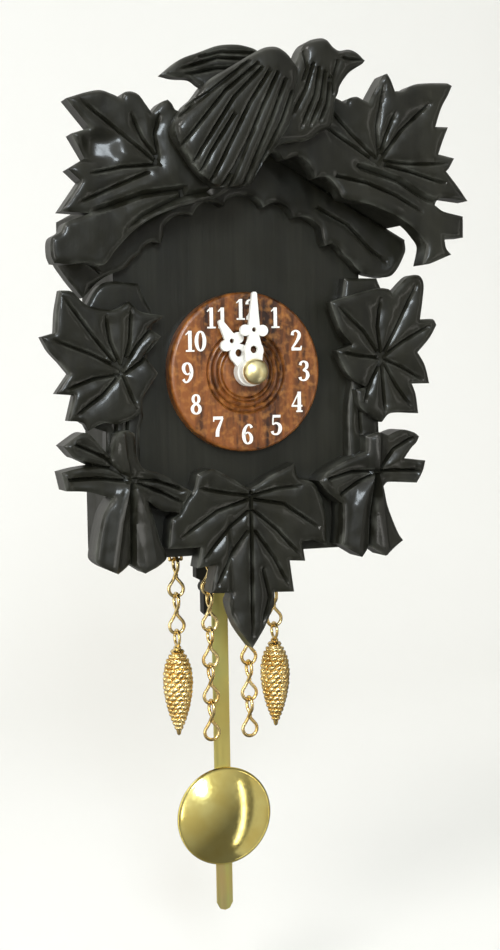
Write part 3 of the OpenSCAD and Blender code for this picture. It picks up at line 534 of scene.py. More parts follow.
left_ribbon = carve("left_ribbon", [
    (-35, -14.5), (-32.5, -13.6), (-30.5, -14.5), (-30, -20), (-28.5, -23), (-26, -23.8), (-22, -25.5),
    (-19, -27.5), (-16, -29.3), (-17.5, -31), (-19.3, -34.3), (-24, -33.5), (-27.5, -31), (-26, -36),
    (-24.8, -40.5), (-23, -45), (-24, -46.3), (-28.5, -48.8), (-31.2, -47), (-32.2, -46.3),
    (-35.5, -48.5), (-39.5, -46.5), (-41, -44.5), (-39, -34.5), (-36.5, -30), (-42, -28.3),
    (-47.8, -27.8), (-48.8, -23.3), (-45, -22.5), (-41, -22),
    (-44.5, -20.3), (-45.8, -19.8), (-48.3, -17), (-43.8, -14.1), (-41.8, -14.3), (-36.5, -20)], -30, -38.4, [
    *fold((-31.6, -26), (-33.2, -20), (-33.9, -13), width=2.6, crest=0.8),
    v((-32, -26), (-38, -20), (-45.5, -16.5), depth=1.0),
    v((-32, -26), (-40, -25), (-47.5, -25.2), depth=1.0),
    v((-31.5, -26), (-24, -29), (-18, -32), depth=1.0),
    *fold((-32, -26.5), (-34.4, -36), (-36.4, -49), width=3.2, crest=0.9),
    v((-31, -26.5), (-27.6, -36), (-25.6, -49), depth=-0.9, width=2.8),
    v((-31.6, -27), (-31.4, -38), (-31.5, -48), depth=1.2, width=0.9),
    v((-31.5, -25.5), (-25, -26.2), (-18, -28.8), depth=0.8),
    v((-32, -25), (-37, -22.6), (-43.5, -21.4), depth=1.0)],
    swell=1.5, spread=1.8, edge_drop=0.9, fade_out=12)
for piece in (left_stem, left_leaf, left_ribbon):
    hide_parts("left_column")

right_stem = carve("right_stem", [
    (36.5, 23.5), (27.5, 23.5), (26.5, 18), (24, 16), (26.5, 10), (28.5, 6.5), (26.5, 4), (29, -2),
    (28, -10), (28, -30), (37, -30), (36.5, -11), (44.5, -10), (43.5, -2.8), (47, -2.5), (45, 4),
    (49, 10.5), (46, 12),
    (46.5, 22), (44, 22), (39, 18)], -30, -34, [
    v((31, -8), (31.5, -18), depth=0.6)], swell=0.6, edge_drop=0.7)
right_leaf = carve("right_leaf", [
    (35.3, 20.8), (38.5, 20.5), (39.3, 19.5), (44, 23.8), (47, 24.1), (48.3, 22.5), (48.3, 19.5),
    (47.3, 12.8), (51, 12.8), (52, 11.3), (50, 8), (46.5, 4.3), (48.5, 1), (49.8, -3.8), (44.8, -3.8),
    (45.8, -6.5), (46.5, -11.5), (38.5, -11.3), (36, -13.5), (31, -10.5), (29.5, -8.5), (29, -5),
    (32, -4.5), (27, -1.5), (23.5, 5), (28, 6.5),
    (25, 10), (22, 17.3), (26, 18.5)], -33.6, -37.4, [
    v((36, 3), (40.5, 11), (46.3, 22)), v((36, 3), (42, 7), (50, 11.2)), v((36, 3), (42, 0.5), (48, -3)),
    v((36, 3), (40, -4), (44.5, -10), depth=0.8), v((36, 3), (31, 10), (24, 16.4)),
    v((36, 3.5), (35, 11), (36, 18.5), depth=0.8), v((35.5, 3), (30, 3.6), (25, 4.6), depth=0.7),
    v((36, 2.5), (33, -3), (31, -8.5), depth=0.8), v((36, 2.5), (36.5, -5), (37, -12), depth=0.7)],
    swell=1.0, spread=1.3)
right_ribbon = carve("right_ribbon", [
    (31, -17), (34.2, -16), (37.5, -17), (37.8, -16.8), (40, -15.9), (42, -15.6), (45, -16.5),
    (46.3, -17.5), (45.5, -19), (43.8, -20.8), (42, -23), (48, -23.8), (47.3, -26.5), (45.5, -29.5),
    (37, -29), (35.8, -30), (37, -35.5), (40, -42.5), (41.3, -44.3), (36, -48), (32.5, -45.5),
    (32, -45.8), (29.5, -48), (23.8, -44.5),
    (24.3, -40), (24.3, -34), (23.5, -33.5), (20, -30.5), (18, -28), (20, -26), (25, -23.3),
    (31, -21)], -30, -38.4, [
    *fold((34.3, -26), (34.2, -20), (34.2, -14), width=2.6, crest=0.8),
    v((34.5, -26), (39, -20.5), (44.5, -17.6), depth=1.0),
    v((34.5, -26), (40, -26), (46.5, -26.4), depth=1.0), v((34, -26), (27, -26), (20, -27.8), depth=1.0),
    *fold((34.6, -26.5), (35.2, -36), (36.4, -49), width=3.2, crest=0.9),
    v((33.6, -26.5), (29.5, -35), (27.6, -49), depth=-0.9, width=2.8),
    v((34.2, -27), (32.6, -38), (32.3, -48), depth=1.2, width=0.9),
    v((33.5, -26.5), (28, -29), (23.5, -32), depth=0.9)],
    swell=1.5, spread=1.8, edge_drop=0.9, fade_out=12)
for piece in (right_stem, right_leaf, right_ribbon):
    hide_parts("right_column")


def hollow(x, z, d):
    """The scooped facet left of the middle rib of the bottom leaf."""
    across = 0.3 * np.clip(-0.4 - x, 0, 5) * np.clip((x + 6.5) / 1.6, 0, 1)
    return -across * np.clip((z + 68) / 8, 0, 1) * np.clip((-34 - z) / 6, 0, 1)


bottom = carve("bottom_leaf_carving", [
    (0, -29), (5, -26.5), (12, -23.3), (13, -27), (17, -28.5), (19, -32), (20.3, -36.5), (20.5, -44.5),
    (17, -43.2), (13.8, -43.3), (14.5, -48.3), (10.3, -48), (11.3, -56), (6, -55.8), (5.8, -59),
    (3.5, -64), (-0.2, -69.6), (-4, -64), (-6, -58), (-5, -55.3), (-11, -55), (-9.5, -48), (-14.5, -48.5),
    (-13.5, -43.3), (-22, -43.3), (-21.5, -39), (-21, -36), (-19.2, -34.9), (-17.2, -31.4),
    (-15.4, -29.4), (-14.8, -28), (-14, -25), (-10, -24), (-5, -26.5)], -30, -36.4, [
    v((0, -30), (0, -50), (-0.2, -68.5), depth=0.8), v((1, -32), (9, -33.5), (18.5, -40), depth=0.9),
    v((-1, -32), (-9, -34.5), (-19, -41), depth=0.9), v((0.5, -31), (7, -29.5), (14, -29), depth=0.7),
    v((-0.5, -31), (-7, -30), (-14, -28.5), depth=0.7), v((1, -35), (7, -40), (13, -46.6), depth=0.9),
    v((-1, -35), (-7, -40), (-13, -46.8), depth=0.9), v((1, -40), (6, -47), (10, -54.5), depth=0.8),
    v((-1, -40), (-6, -47), (-9.5, -53.5), depth=0.8), v((3, -50), (4.6, -57), (2.4, -64.5), depth=0.6)],
    swell=0.95, spread=1.3, shape=hollow)
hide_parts("bottom_leaf")

# The dial: turned hardwood disc with ring grooves, streaky brown stain under clear lacquer.

dial_wood, tree, shader = new_material("dial_wood", Coat_Weight=0.25, Coat_Roughness=0.15)
wood = use(tree, grain, Across=620, Along=0.16, Seed=0.3)
flow = use(tree, wobble, Size=560, Fine=1800)
amount = remap(tree, total(tree, wood.outputs["Band"], wood.outputs["Streak"], 0.9), 0.78, 1.1)
brown = colour_between(tree, amount, (0.022, 0.006, 0.0017), (0.215, 0.066, 0.012))
pale = remap(tree, flow.outputs["Flow"], 0.48, 0.7, 0.0, 0.5)
paint(tree, shader, colour_between(tree, pale, brown, (0.42, 0.175, 0.04)),
      remap(tree, flow.outputs["Speck"], 0.3, 0.7, 0.28, 0.45))
bump(tree, shader, wood.outputs["Streak"], 0.09 * MM)


def round_about(radius, degrees):
    """The point at an angle on a circle, as (along, up)."""
    return radius * math.cos(math.radians(degrees)), radius * math.sin(math.radians(degrees))


def lathe(name, profile, centre, material, body, steps=128, angle=35):
    """Turns (radius, y) points in mm about the Y axis through centre. A radius of 0 closes it at the axis."""
    verts, faces, rings = [], [], []
    for radius, y in profile:
        first = len(verts)
        for k in range(steps if radius else 1):
            x, z = round_about(radius * MM, 360 * k / steps)
            verts.append((centre[0] + x, centre[1] + y * MM, centre[2] + z))
        rings.append(range(first, len(verts)))
    hollow_through = len(rings[0]) > 1 and len(rings[-1]) > 1
    for low, high in zip(rings, rings[1:] + rings[:1] * hollow_through):
        for k in range(steps):
            j = (k + 1) % steps
            if len(low) == 1 and len(high) > 1:
                faces.append((low[0], high[k], high[j]))
            elif len(high) == 1 and len(low) > 1:
                faces.append((low[k], low[j], high[0]))
            elif len(low) > 1:
                faces.append((low[k], low[j], high[j], high[k]))
    mesh = bpy.data.meshes.new(name)
    mesh.from_pydata(verts, [], faces)
    return settle(name, mesh, material, body, angle)


def arc(centre, radius, start, end, count):
    turns = [round_about(radius, start + (end - start) * k / count) for k in range(count + 1)]
    return [(centre[0] + x, centre[1] + y) for x, y in turns]


rim = arc((18.9, -2.9), 1.1, 0, -90, 8)
grooves = [(10.75, -4), (10.5, -3.8), (10.2, -3.25), (9.9, -3.8), (9.6, -4), (9.3, -3.8), (8.9, -3.2),
           (8.6, -3.7), (8.2, -4), (7.8, -3.75), (7.4, -3.2), (7.1, -3.7), (6.85, -3.8), (6.5, -3.2),
           (6.15, -3.75)]
middle = [(5.6, -3.85), (2.6, -3.85), (2.6, 0)]
disc = lathe("dial_disc", [(20, 0), (20, -2.9)] + rim + [(18, -4)] + grooves + middle,
             (0, -30 * MM, DIAL_Z), dial_wood, "case", 160, 30)
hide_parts("dial")

# The hour numbers: white serif figures printed upright on the dial, a little proud of it.

numeral_white, tree, shader = new_material("numeral_white", Roughness=0.4)
flow = use(tree, wobble, Size=500, Fine=3000)
tree.links.new(colour_between(tree, remap(tree, flow.outputs["Speck"], 0.3, 0.7),
                              (0.72, 0.71, 0.67), (0.85, 0.85, 0.81)), shader.inputs["Base Color"])
bump(tree, shader, flow.outputs["Speck"], 0.02 * MM)


def ring_stroke(cx, cy, rx, ry, thick, thin):
    """A round stroke that is thick at its sides and thin at top and bottom."""
    return [(cx + rx * math.sin(a), cy + ry * math.cos(a), thin + (thick - thin) * abs(math.sin(a)) ** 1.5)
            for a in [2 * math.pi * k / 24 for k in range(25)]]


six = [(0.51, 0.8, 0.14), (0.42, 0.94, 0.08), (0.27, 0.9, 0.1), (0.13, 0.68, 0.16), (0.1, 0.38, 0.17),
       (0.17, 0.13, 0.13), (0.31, 0.04, 0.08), (0.46, 0.14, 0.15), (0.49, 0.33, 0.16), (0.41, 0.51, 0.11),
       (0.28, 0.57, 0.07), (0.14, 0.46, 0.07)]
FIGURES = {      # strokes of (along, up, width) points, as shares of the figure's height
    "0": [ring_stroke(0.3, 0.5, 0.2, 0.45, 0.18, 0.08)],
    "1": [[(0.12, 0.8, 0.05), (0.3, 0.96, 0.08)], [(0.33, 0.99, 0.17), (0.33, 0.02, 0.17)],
          [(0.12, 0.04, 0.08), (0.54, 0.04, 0.08)]],
    "2": [[(0.11, 0.74, 0.16), (0.13, 0.88, 0.11), (0.29, 0.96, 0.08), (0.45, 0.86, 0.14), (0.46, 0.68, 0.17),
           (0.32, 0.42, 0.12), (0.08, 0.1, 0.08)], [(0.06, 0.07, 0.14), (0.56, 0.07, 0.14)],
          [(0.55, 0.05, 0.05), (0.57, 0.22, 0.05)]],
    "3": [[(0.1, 0.78, 0.15), (0.15, 0.91, 0.1), (0.3, 0.96, 0.08), (0.44, 0.86, 0.15), (0.43, 0.66, 0.14),
           (0.24, 0.53, 0.07)],
          [(0.24, 0.54, 0.07), (0.44, 0.45, 0.13), (0.49, 0.27, 0.18), (0.41, 0.1, 0.12), (0.26, 0.04, 0.08),
           (0.12, 0.09, 0.1), (0.08, 0.2, 0.16)]],
    "4": [[(0.41, 0.97, 0.06), (0.06, 0.34, 0.06)], [(0.02, 0.3, 0.09), (0.58, 0.3, 0.09)],
          [(0.42, 0.99, 0.17), (0.42, 0.02, 0.17)], [(0.26, 0.04, 0.08), (0.58, 0.04, 0.08)]],
    "5": [[(0.12, 0.92, 0.13), (0.52, 0.92, 0.13)], [(0.14, 0.96, 0.06), (0.11, 0.52, 0.06)],
          [(0.11, 0.52, 0.07), (0.28, 0.59, 0.09), (0.46, 0.49, 0.14), (0.49, 0.28, 0.18), (0.4, 0.1, 0.12),
           (0.25, 0.04, 0.08), (0.11, 0.09, 0.1), (0.08, 0.2, 0.16)]],
    "6": [six],
    "7": [[(0.06, 0.91, 0.15), (0.55, 0.91, 0.15)],
          [(0.53, 0.9, 0.08), (0.37, 0.56, 0.13), (0.27, 0.3, 0.17), (0.25, 0.02, 0.18)],
          [(0.08, 0.96, 0.05), (0.07, 0.74, 0.05)]],
    "8": [ring_stroke(0.3, 0.74, 0.15, 0.2, 0.14, 0.08), ring_stroke(0.3, 0.27, 0.19, 0.22, 0.16, 0.08)],
    "9": [[(0.6 - x, 1 - y, w) for x, y, w in six]],
}


FIGURE_HEIGHT, FIGURE_RING, FIGURE_PITCH = 5.2, 15.6, 0.56 * 5.2
FIGURE_BACK, FIGURE_FRONT, LAYER = -33.9, -34.2, 0.03


def figure_strip(points, origin, lift):
    """A thin solid ribbon of changing width through (x, y, width) points."""
    p = np.array(points, float)
    if len(p) > 2:
        smooth = []
        for i in range(len(p) - 1):
            a, b, c, d = p[max(i - 1, 0)], p[i], p[i + 1], p[min(i + 2, len(p) - 1)]
            for k in range(4):
                t = k / 4
                smooth.append(0.5 * (2 * b + (c - a) * t + (2 * a - 5 * b + 4 * c - d) * t ** 2
                                     + (3 * b - a - 3 * c + d) * t ** 3))
        p = np.array(smooth + [p[-1]])
    half = sideways(np.gradient(p[:, :2], axis=0)) * p[:, 2:] / 2
    verts = []
    for y in (FIGURE_FRONT - lift, FIGURE_BACK):
        for row in (p[:, :2] + half, p[:, :2] - half):
            verts += [(x * MM, y * MM, DIAL_Z + z * MM) for x, z in row * FIGURE_HEIGHT + origin]
    n = len(p)
    faces = [(0, n, 3 * n, 2 * n), (n - 1, 3 * n - 1, 4 * n - 1, 2 * n - 1)]
    for k in range(n - 1):
        faces += [(k, k + 1, n + k + 1, n + k), (2 * n + k, 3 * n + k, 3 * n + k + 1, 2 * n + k + 1),
                  (k, 2 * n + k, 2 * n + k + 1, k + 1), (n + k, n + k + 1, 3 * n + k + 1, 3 * n + k)]
    return verts, faces


verts, faces = [], []
for hour in range(1, 13):
    text = str(hour)
    wide = FIGURE_HEIGHT * 0.6 + FIGURE_PITCH * (len(text) - 1)
    up, across = round_about(FIGURE_RING, 30 * hour)
    for place, figure in enumerate(text):
        origin = (across - wide / 2 + place * FIGURE_PITCH, up - FIGURE_HEIGHT / 2)
        for layer, stroke in enumerate(FIGURES[figure]):
            more, skin = figure_strip(stroke, origin, LAYER * layer)
            faces += [tuple(i + len(verts) for i in f) for f in skin]
            verts += more
mesh = bpy.data.meshes.new("hour_numbers")
mesh.from_pydata(verts, [], faces)
numbers = settle("hour_numbers", mesh, numeral_white, "case", 30)

# The hands: moulded white plastic, each with a round boss, and a domed brass nut on top.

hand_white, tree, shader = new_material("hand_white", Coat_Weight=0.3, Coat_Roughness=0.15)
flow = use(tree, wobble, Size=400, Fine=2500)
colour = colour_between(tree, remap(tree, flow.outputs["Flow"], 0.3, 0.7),
                        (0.68, 0.67, 0.62), (0.78, 0.78, 0.74))
paint(tree, shader, colour, remap(tree, flow.outputs["Speck"], 0.3, 0.7, 0.3, 0.45))
bump(tree, shader, flow.outputs["Flow"], 0.04 * MM)
finish(hand_white, "hour_hand", "minute_hand")

turned_brass = metal("turned_brass", (0.88, 0.74, 0.36), (0.97, 0.88, 0.52), (0.3, 0.42), 600, 0.01 * MM)
crown_of_nut = [(3.2 * math.sin(a), -0.5 - 2 * math.cos(a)) for a in np.radians(np.arange(12, 91, 6))]
nut = lathe("domed_nut", [(0, -2.5)] + crown_of_nut + [(3.2, 0), (0.76, 0), (0, -0.1)],
            (0, -40.2 * MM, DIAL_Z), turned_brass, "minute_train", 96)
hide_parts("hand_nut")

# The pendulum: a flat strip passivated yellow, with rainbow tints, and a bob pressed from thin
# brass sheet, with its edge rolled over.

rod_metal, tree, shader = new_material("passivated_strip", Metallic=1.0)
flow = use(tree, wobble, Size=70, Fine=900)
wood = use(tree, grain, Across=1500, Along=0.03)
yellow = colour_between(tree, remap(tree, flow.outputs["Flow"], 0.38, 0.6),
                        (0.78, 0.66, 0.21), (0.71, 0.68, 0.24))
rosy = remap(tree, wood.outputs["Band"], 0.45, 0.65, 0.0, 0.65)
paint(tree, shader, colour_between(tree, rosy, yellow, (0.72, 0.40, 0.28)),
      remap(tree, wood.outputs["Streak"], 0.3, 0.7, 0.4, 0.55))
bump(tree, shader, wood.outputs["Streak"], 0.01 * MM)
finish(rod_metal, "pendulum_rod")

bright_brass = metal("bright_brass", (0.88, 0.72, 0.22), (0.96, 0.84, 0.31), (0.1, 0.2), 140, 0.0015 * MM)
BOB_RADIUS, DOME_RADIUS, DOME_CENTRE, SHEET = 13.25, 26.8, 12.2, 0.5


def dome(radius, angles):
    return [(radius * math.sin(a), DOME_CENTRE - radius * math.cos(a)) for a in np.radians(angles)]


DOME_TOP = DOME_CENTRE - DOME_RADIUS
rolled_edge = [(12.75, -11.35), (13.05, -11.42), (BOB_RADIUS, -11.2), (13.2, -10.9), (12.9, -10.8),
               (11.8, -10.85)]
front = [(0, DOME_TOP)] + dome(DOME_RADIUS, np.arange(2, 27.6, 1.5))
rear = dome(DOME_RADIUS - SHEET, np.arange(26.6, 1, -1.5)) + [(0, DOME_TOP + SHEET)]
bob_centre = (0, 0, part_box("pendulum_bob")[0].z + BOB_RADIUS * MM)
bob = lathe("bob_shell", front + rolled_edge + rear, bob_centre, bright_brass, "bob", 160, 50)
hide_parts("pendulum_bob")

# The chains: bright gold-coloured figure-eight links, each bent from one piece of wire with
# its two eyes at right angles, hung from wire staples under the bottom board.

gold = metal("gold_wire", (0.72, 0.5, 0.18), (0.93, 0.75, 0.38), (0.14, 0.28), 260, 0.004 * MM)


EYE, EYES_APART = 2.0, 6.5          # mm: radius of an eye's bend, and one eye to the other in a link
LINK_PITCH, WIRE = 9.65, 0.45       # mm: link to link, and the wire's radius
CHAIN_Y = -17 * MM
BEND = range(-140, 141, 20)


def link_wire():
    """The wire's course through one link, in mm: upper eye across, lower eye facing front."""
    upper = [(0, y, z) for z, y in (round_about(EYE, a) for a in BEND)]
    lower = [(-x, 0, -EYES_APART - z) for z, x in (round_about(EYE, a) for a in BEND)]
    down, back_up = [(0.42, 0.42, -2.9), (0.1, 0.42, -3.5)], [(-0.42, -0.1, -3.5), (-0.42, -0.42, -2.9)]
    return upper + down + lower + back_up


def input_id(tree, label):
    return next(s.identifier for s in tree.interface.items_tree if s.name == label and s.in_out == "INPUT")


def geometry_tree(name, inputs):
    made = bpy.data.node_groups.new(name, "GeometryNodeTree")
    made.interface.new_socket("Geometry", in_out="INPUT", socket_type="NodeSocketGeometry")
    for label, kind, value in inputs:
        socket = made.interface.new_socket(label, in_out="INPUT", socket_type=kind)
        if value is not None:
            socket.default_value = value
    made.interface.new_socket("Geometry", in_out="OUTPUT", socket_type="NodeSocketGeometry")
    return made, made.nodes.new("NodeGroupInput"), made.nodes.new("NodeGroupOutput")


def baked(name, source, tree, values, body, material, angle=40):
    """Runs a geometry tree on a source object and keeps the result as a plain mesh."""
    host = bpy.data.objects.new(name + "_host", source)
    bpy.context.scene.collection.objects.link(host)
    modifier = host.modifiers.new("grow", "NODES")
    modifier.node_group = tree
    for label, value in values.items():
        modifier[input_id(tree, label)] = value
    bpy.context.view_layer.update()
    done = host.evaluated_get(bpy.context.evaluated_depsgraph_get())
    mesh = bpy.data.meshes.new_from_object(done)
    mesh.name = name
    host.modifiers.clear()
    bpy.data.objects.remove(host)
    return settle(name, mesh, material, body, angle)


links, lin, lout = geometry_tree("chain_of_links", [
    ("Count", "NodeSocketInt", 2), ("Pitch", "NodeSocketFloat", LINK_PITCH * MM),
    ("Wire", "NodeSocketFloat", WIRE * MM), ("Start", "NodeSocketVector", (0, 0, 0)),
    ("Finish", "NodeSocketMaterial", None)])
drop = maths(links, "MULTIPLY", lin.outputs["Pitch"], -1.0)
step_down = add(links, "ShaderNodeCombineXYZ", Z=drop).outputs[0]
line = add(links, "GeometryNodeMeshLine", Count=lin.outputs["Count"], Start_Location=lin.outputs["Start"],
           Offset=step_down)
round_wire = add(links, "GeometryNodeCurvePrimitiveCircle", Resolution=12, Radius=lin.outputs["Wire"])
tube = add(links, "GeometryNodeCurveToMesh", Curve=lin.outputs["Geometry"],
           Profile_Curve=round_wire.outputs["Curve"])
copies = add(links, "GeometryNodeInstanceOnPoints", Points=line.outputs[0], Instance=tube.outputs[0])
solid = add(links, "GeometryNodeRealizeInstances", Geometry=copies.outputs[0])
painted = add(links, "GeometryNodeSetMaterial", Geometry=solid.outputs[0], Material=lin.outputs["Finish"])
links.links.new(painted.outputs[0], lout.inputs[0])

LINK_TOP = -89.45 * MM
CHAINS = [(-14.2, 2), (-5.1, 5), (5.6, 5), (13.0, 2)]      # place from the left in mm, and number of links
for index, (x, count) in enumerate(CHAINS, 1):
    wire = bpy.data.curves.new("link_wire", "CURVE")
    wire.dimensions = "3D"
    spline = wire.splines.new("NURBS")
    course = link_wire()
    spline.points.add(len(course) - 1)
    for point, place in zip(spline.points, course):
        point.co = (*(Vector(place) * MM), 1)
    spline.use_cyclic_u = True
    spline.order_u = 3
    spline.resolution_u = 4
    strand = baked(f"chain_{index}_links", wire, links, {
        "Count": count, "Start": (x * MM, CHAIN_Y, LINK_TOP), "Finish": gold}, f"chain_{index}", gold)
    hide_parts(f"strand_{index}")
finish(gold, "chain_staples")

# The weights: cast pine cones, a tapering core covered with rows of overlapping scales, under
# a small collar and a wire eye. They are ornaments and drive nothing.

cone, cin, cout = geometry_tree("pine_cone_scales", [
    ("Rows", "NodeSocketInt", 19), ("Per Row", "NodeSocketInt", 9), ("Length", "NodeSocketFloat", 0.0222),
    ("Girth", "NodeSocketFloat", 0.0033), ("Top", "NodeSocketVector", (0, 0, 0)),
    ("Finish", "NodeSocketMaterial", None)])


def sums(operation, a, b=0.0):
    return maths(cone, operation, a, b)


amount = sums("MULTIPLY", cin.outputs["Rows"], cin.outputs["Per Row"])
points = add(cone, "GeometryNodeMeshLine", Count=amount)
number = add(cone, "GeometryNodeInputIndex").outputs[0]
row = sums("FLOOR", sums("DIVIDE", sums("ADD", number, 0.5), cin.outputs["Per Row"]))
place = sums("SUBTRACT", number, sums("MULTIPLY", row, cin.outputs["Per Row"]))
stagger = sums("MULTIPLY", row, 0.36)
turn = sums("DIVIDE", sums("MULTIPLY", sums("ADD", place, stagger), 2 * math.pi), cin.outputs["Per Row"])
down = sums("DIVIDE", sums("ADD", row, 0.6), cin.outputs["Rows"])
swell = sums("POWER", sums("SINE", sums("MULTIPLY", sums("POWER", down, 0.72), math.pi)), 0.72)
reach = sums("MULTIPLY", swell, cin.outputs["Girth"])
spot = add(cone, "ShaderNodeCombineXYZ", X=sums("MULTIPLY", reach, sums("COSINE", turn)),
           Y=sums("MULTIPLY", reach, sums("SINE", turn)),
           Z=sums("MULTIPLY", sums("MULTIPLY", down, cin.outputs["Length"]), -1.0)).outputs[0]
placed = add(cone, "GeometryNodeSetPosition", Geometry=points.outputs[0],
             Position=vectors(cone, "ADD", spot, cin.outputs["Top"]))
scale_form = add(cone, "GeometryNodeMeshIcoSphere", Radius=1.0, Subdivisions=3)
size = sums("MULTIPLY", sums("ADD", sums("MULTIPLY", swell, 0.8), 0.2), 0.001)
shrunk = add(cone, "GeometryNodeTransform", Geometry=scale_form.outputs[0], Scale=(0.62, 1.3, 0.85),
             Rotation=(0.35, 0.45, 0))
facing = add(cone, "ShaderNodeCombineXYZ", Z=turn).outputs[0]
scales = add(cone, "GeometryNodeInstanceOnPoints", Points=placed.outputs[0], Instance=shrunk.outputs[0],
             Rotation=facing, Scale=add(cone, "ShaderNodeCombineXYZ", X=size, Y=size, Z=size).outputs[0])
solid = add(cone, "GeometryNodeRealizeInstances", Geometry=scales.outputs[0])
both = cone.nodes.new("GeometryNodeJoinGeometry")
cone.links.new(solid.outputs[0], both.inputs[0])
cone.links.new(cin.outputs["Geometry"], both.inputs[0])
painted = add(cone, "GeometryNodeSetMaterial", Geometry=both.outputs[0], Material=cin.outputs["Finish"])
cone.links.new(painted.outputs[0], cout.inputs[0])


def cone_core(x, top):
    """Core, collar and eye of a weight as one mesh, hanging from (x, top)."""
    profile = [(0, -2.0), (0.75, -2.1), (1.05, -2.5), (0.95, -2.9), (1.5, -3.1), (1.9, -3.6), (1.7, -3.9)]
    for down in np.arange(1, 20) / 20:
        profile.append((3.1 * math.sin(math.pi * down ** 0.72) ** 0.72 + 0.1, -3.2 - 22.2 * down))
    profile += [(0.5, -25.4), (0, -25.8)]
    steps, verts = 40, []
    for radius, z in profile:
        for k in range(steps if radius else 1):
            across, deep = round_about(radius * MM, 360 * k / steps)
            verts.append((x + across, CHAIN_Y + deep, top + z * MM))
    around = [(k, (k + 1) % steps) for k in range(steps)]
    faces = [(0, 1 + a, 1 + b) for a, b in around]
    start = 1
    for _ in range(len(profile) - 3):
        faces += [(start + a, start + steps + a, start + steps + b, start + b) for a, b in around]
        start += steps
    faces += [(len(verts) - 1, start + b, start + a) for a, b in around]
    base, bends, sides, wire = len(verts), 36, 10, 0.4
    for i in range(bends):
        for j in range(sides):
            out, along_x = round_about(wire, 360 * j / sides)
            up, deep = round_about((EYE + out) * MM, 360 * i / bends)
            verts.append((x + along_x * MM, CHAIN_Y + deep, top + up))
            here, ahead = base + i * sides, base + (i + 1) % bends * sides
            faces.append((here + j, here + (j + 1) % sides, ahead + (j + 1) % sides, ahead + j))
    mesh = bpy.data.meshes.new("cone_core")
    mesh.from_pydata(verts, [], faces)
    return mesh


for side, (x, count) in (("left", CHAINS[0]), ("right", CHAINS[-1])):
    top = LINK_TOP - count * LINK_PITCH * MM
    weight = baked(f"weight_{side}_cone", cone_core(x * MM, top), cone, {
        "Top": (x * MM, CHAIN_Y, top - 3.2 * MM), "Finish": gold}, f"weight_{side}", gold, 50)
    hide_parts(f"cone_{side}")

# Plain pale studio: a floor that curves up into the backdrop, an even pale surround, and soft
# lights: a key and a flash over the left shoulder, fills and strips at both sides, and a wash behind.

pale_paper, tree, shader = new_material("pale_paper", Roughness=0.9)
flow = use(tree, wobble, Size=3, Fine=40)
tree.links.new(colour_between(tree, flow.outputs["Flow"], (0.80, 0.80, 0.785), (0.84, 0.84, 0.825)),
               shader.inputs["Base Color"])
FLOOR_Z, BACK_Y, BACK_TOP, BEND_RADIUS = cad_box[0][2] - 0.03, 0.9, 2.6, 0.5
curve = arc((BACK_Y - BEND_RADIUS, FLOOR_Z + BEND_RADIUS), BEND_RADIUS, -90, 0, 15)
profile = [(-1.8, FLOOR_Z)] + curve + [(BACK_Y, BACK_TOP)]
verts = [(x, y, z) for y, z in profile for x in (-3, 3)]
faces = [(2 * k, 2 * k + 1, 2 * k + 3, 2 * k + 2) for k in range(len(profile) - 1)]
mesh = bpy.data.meshes.new("studio_sheet")
mesh.from_pydata(verts, [], faces)
mesh.shade_smooth()
mesh.materials.append(pale_paper)
sheet = bpy.data.objects.new("studio_sheet", mesh)
bpy.context.scene.collection.objects.link(sheet)
sheet.visible_glossy = False

world = bpy.data.worlds.new("studio")
bpy.context.scene.world = world
world.use_nodes = True
sky = world.node_tree
way = add(sky, "ShaderNodeSeparateXYZ", Vector=add(sky, "ShaderNodeTexCoord").outputs["Generated"]).outputs
lean = maths(sky, "SUBTRACT", way["Z"], way["X"])
sky.links.new(remap(sky, lean, -0.7, 0.9, 0.14, 0.85), sky.nodes["Background"].inputs["Strength"])
sky.nodes["Background"].inputs["Color"].default_value = (1.0, 0.985, 0.93, 1)


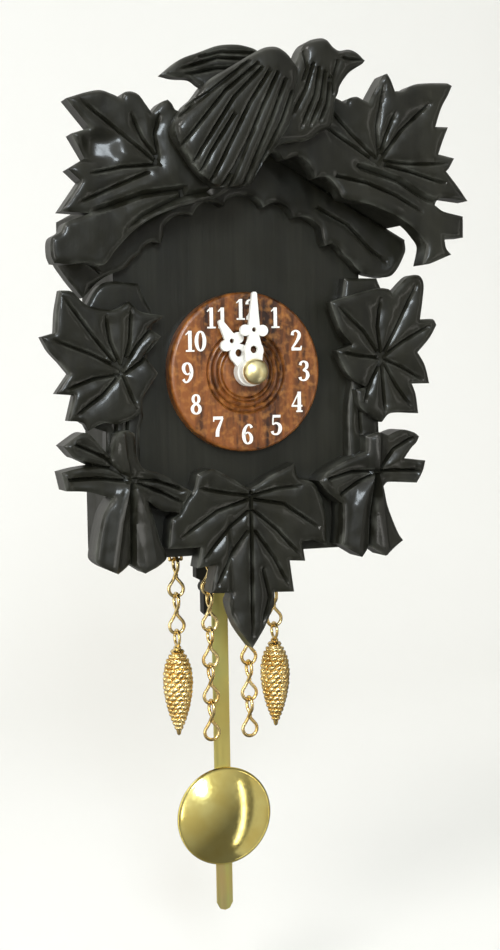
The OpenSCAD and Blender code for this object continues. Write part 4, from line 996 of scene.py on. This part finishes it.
def soft_light(name, place, aim, size, power, colour):
    lamp = bpy.data.lights.new(name, "AREA")
    lamp.shape = "RECTANGLE"
    lamp.size, lamp.size_y = size
    lamp.energy = power
    lamp.color = colour
    made = bpy.data.objects.new(name, lamp)
    made.location = place
    made.rotation_euler = (Vector(aim) - Vector(place)).to_track_quat("-Z", "Y").to_euler()
    bpy.context.scene.collection.objects.link(made)


soft_light("key_soft", (-0.75, -0.75, 0.75), (0, 0, -0.02), (0.4, 0.3), 6, (1.0, 0.98, 0.95))
soft_light("flash_soft", (-0.26, -1.14, 0.34), (0, 0, -0.04), (0.2, 0.3), 7, (0.84, 0.93, 1.0))
soft_light("front_fill", (-0.95, -1.0, -0.05), (0, 0, -0.06), (0.35, 0.8), 4.5, (1.0, 0.98, 0.94))
soft_light("right_strip", (0.8, -1.0, -0.4), (0, 0, -0.06), (0.1, 1.7), 2.4, (1.0, 0.97, 0.9))
soft_light("right_wash", (1.1, -0.5, -0.5), (0, 0, -0.1), (0.6, 2.0), 1.5, (1.0, 0.96, 0.88))
soft_light("back_wash", (0, 0.1, 1.6), (0, 0.9, 0.3), (1.8, 0.8), 6.5, (1, 1, 0.965))
soft_light("left_strip", (-0.9, 0.1, -0.05), (0, -0.03, -0.04), (0.18, 0.8), 1.1, (0.9, 0.96, 1.0))

camera_data = bpy.data.cameras.new("camera")
camera = bpy.data.objects.new("camera", camera_data)
bpy.context.scene.collection.objects.link(camera)
bpy.context.scene.camera = camera
DISTANCE, AROUND = 0.400, math.radians(-20.5)
DOWN, ASIDE, ROLL = math.radians(3.709), math.radians(0.065), math.radians(1.0)
eye = Vector((DISTANCE * math.sin(AROUND), -0.034 - DISTANCE * math.cos(AROUND), DIAL_Z))
ahead = Vector((-math.sin(AROUND), math.cos(AROUND), 0))
right = Vector((math.cos(AROUND), math.sin(AROUND), 0))
ahead = ahead * math.cos(ASIDE) + right * math.sin(ASIDE)
ahead = ahead * math.cos(DOWN) + Vector((0, 0, -math.sin(DOWN)))
turned = ahead.to_track_quat("-Z", "Y").to_matrix().to_4x4()
camera.matrix_world = Matrix.Translation(eye) @ turned @ Matrix.Rotation(-ROLL, 4, "Z")
camera_data.sensor_fit = "AUTO"
camera_data.sensor_width = 36
camera_data.lens = 60.33
camera_data.clip_start = 0.01
bpy.context.scene.view_settings.view_transform = "Standard"
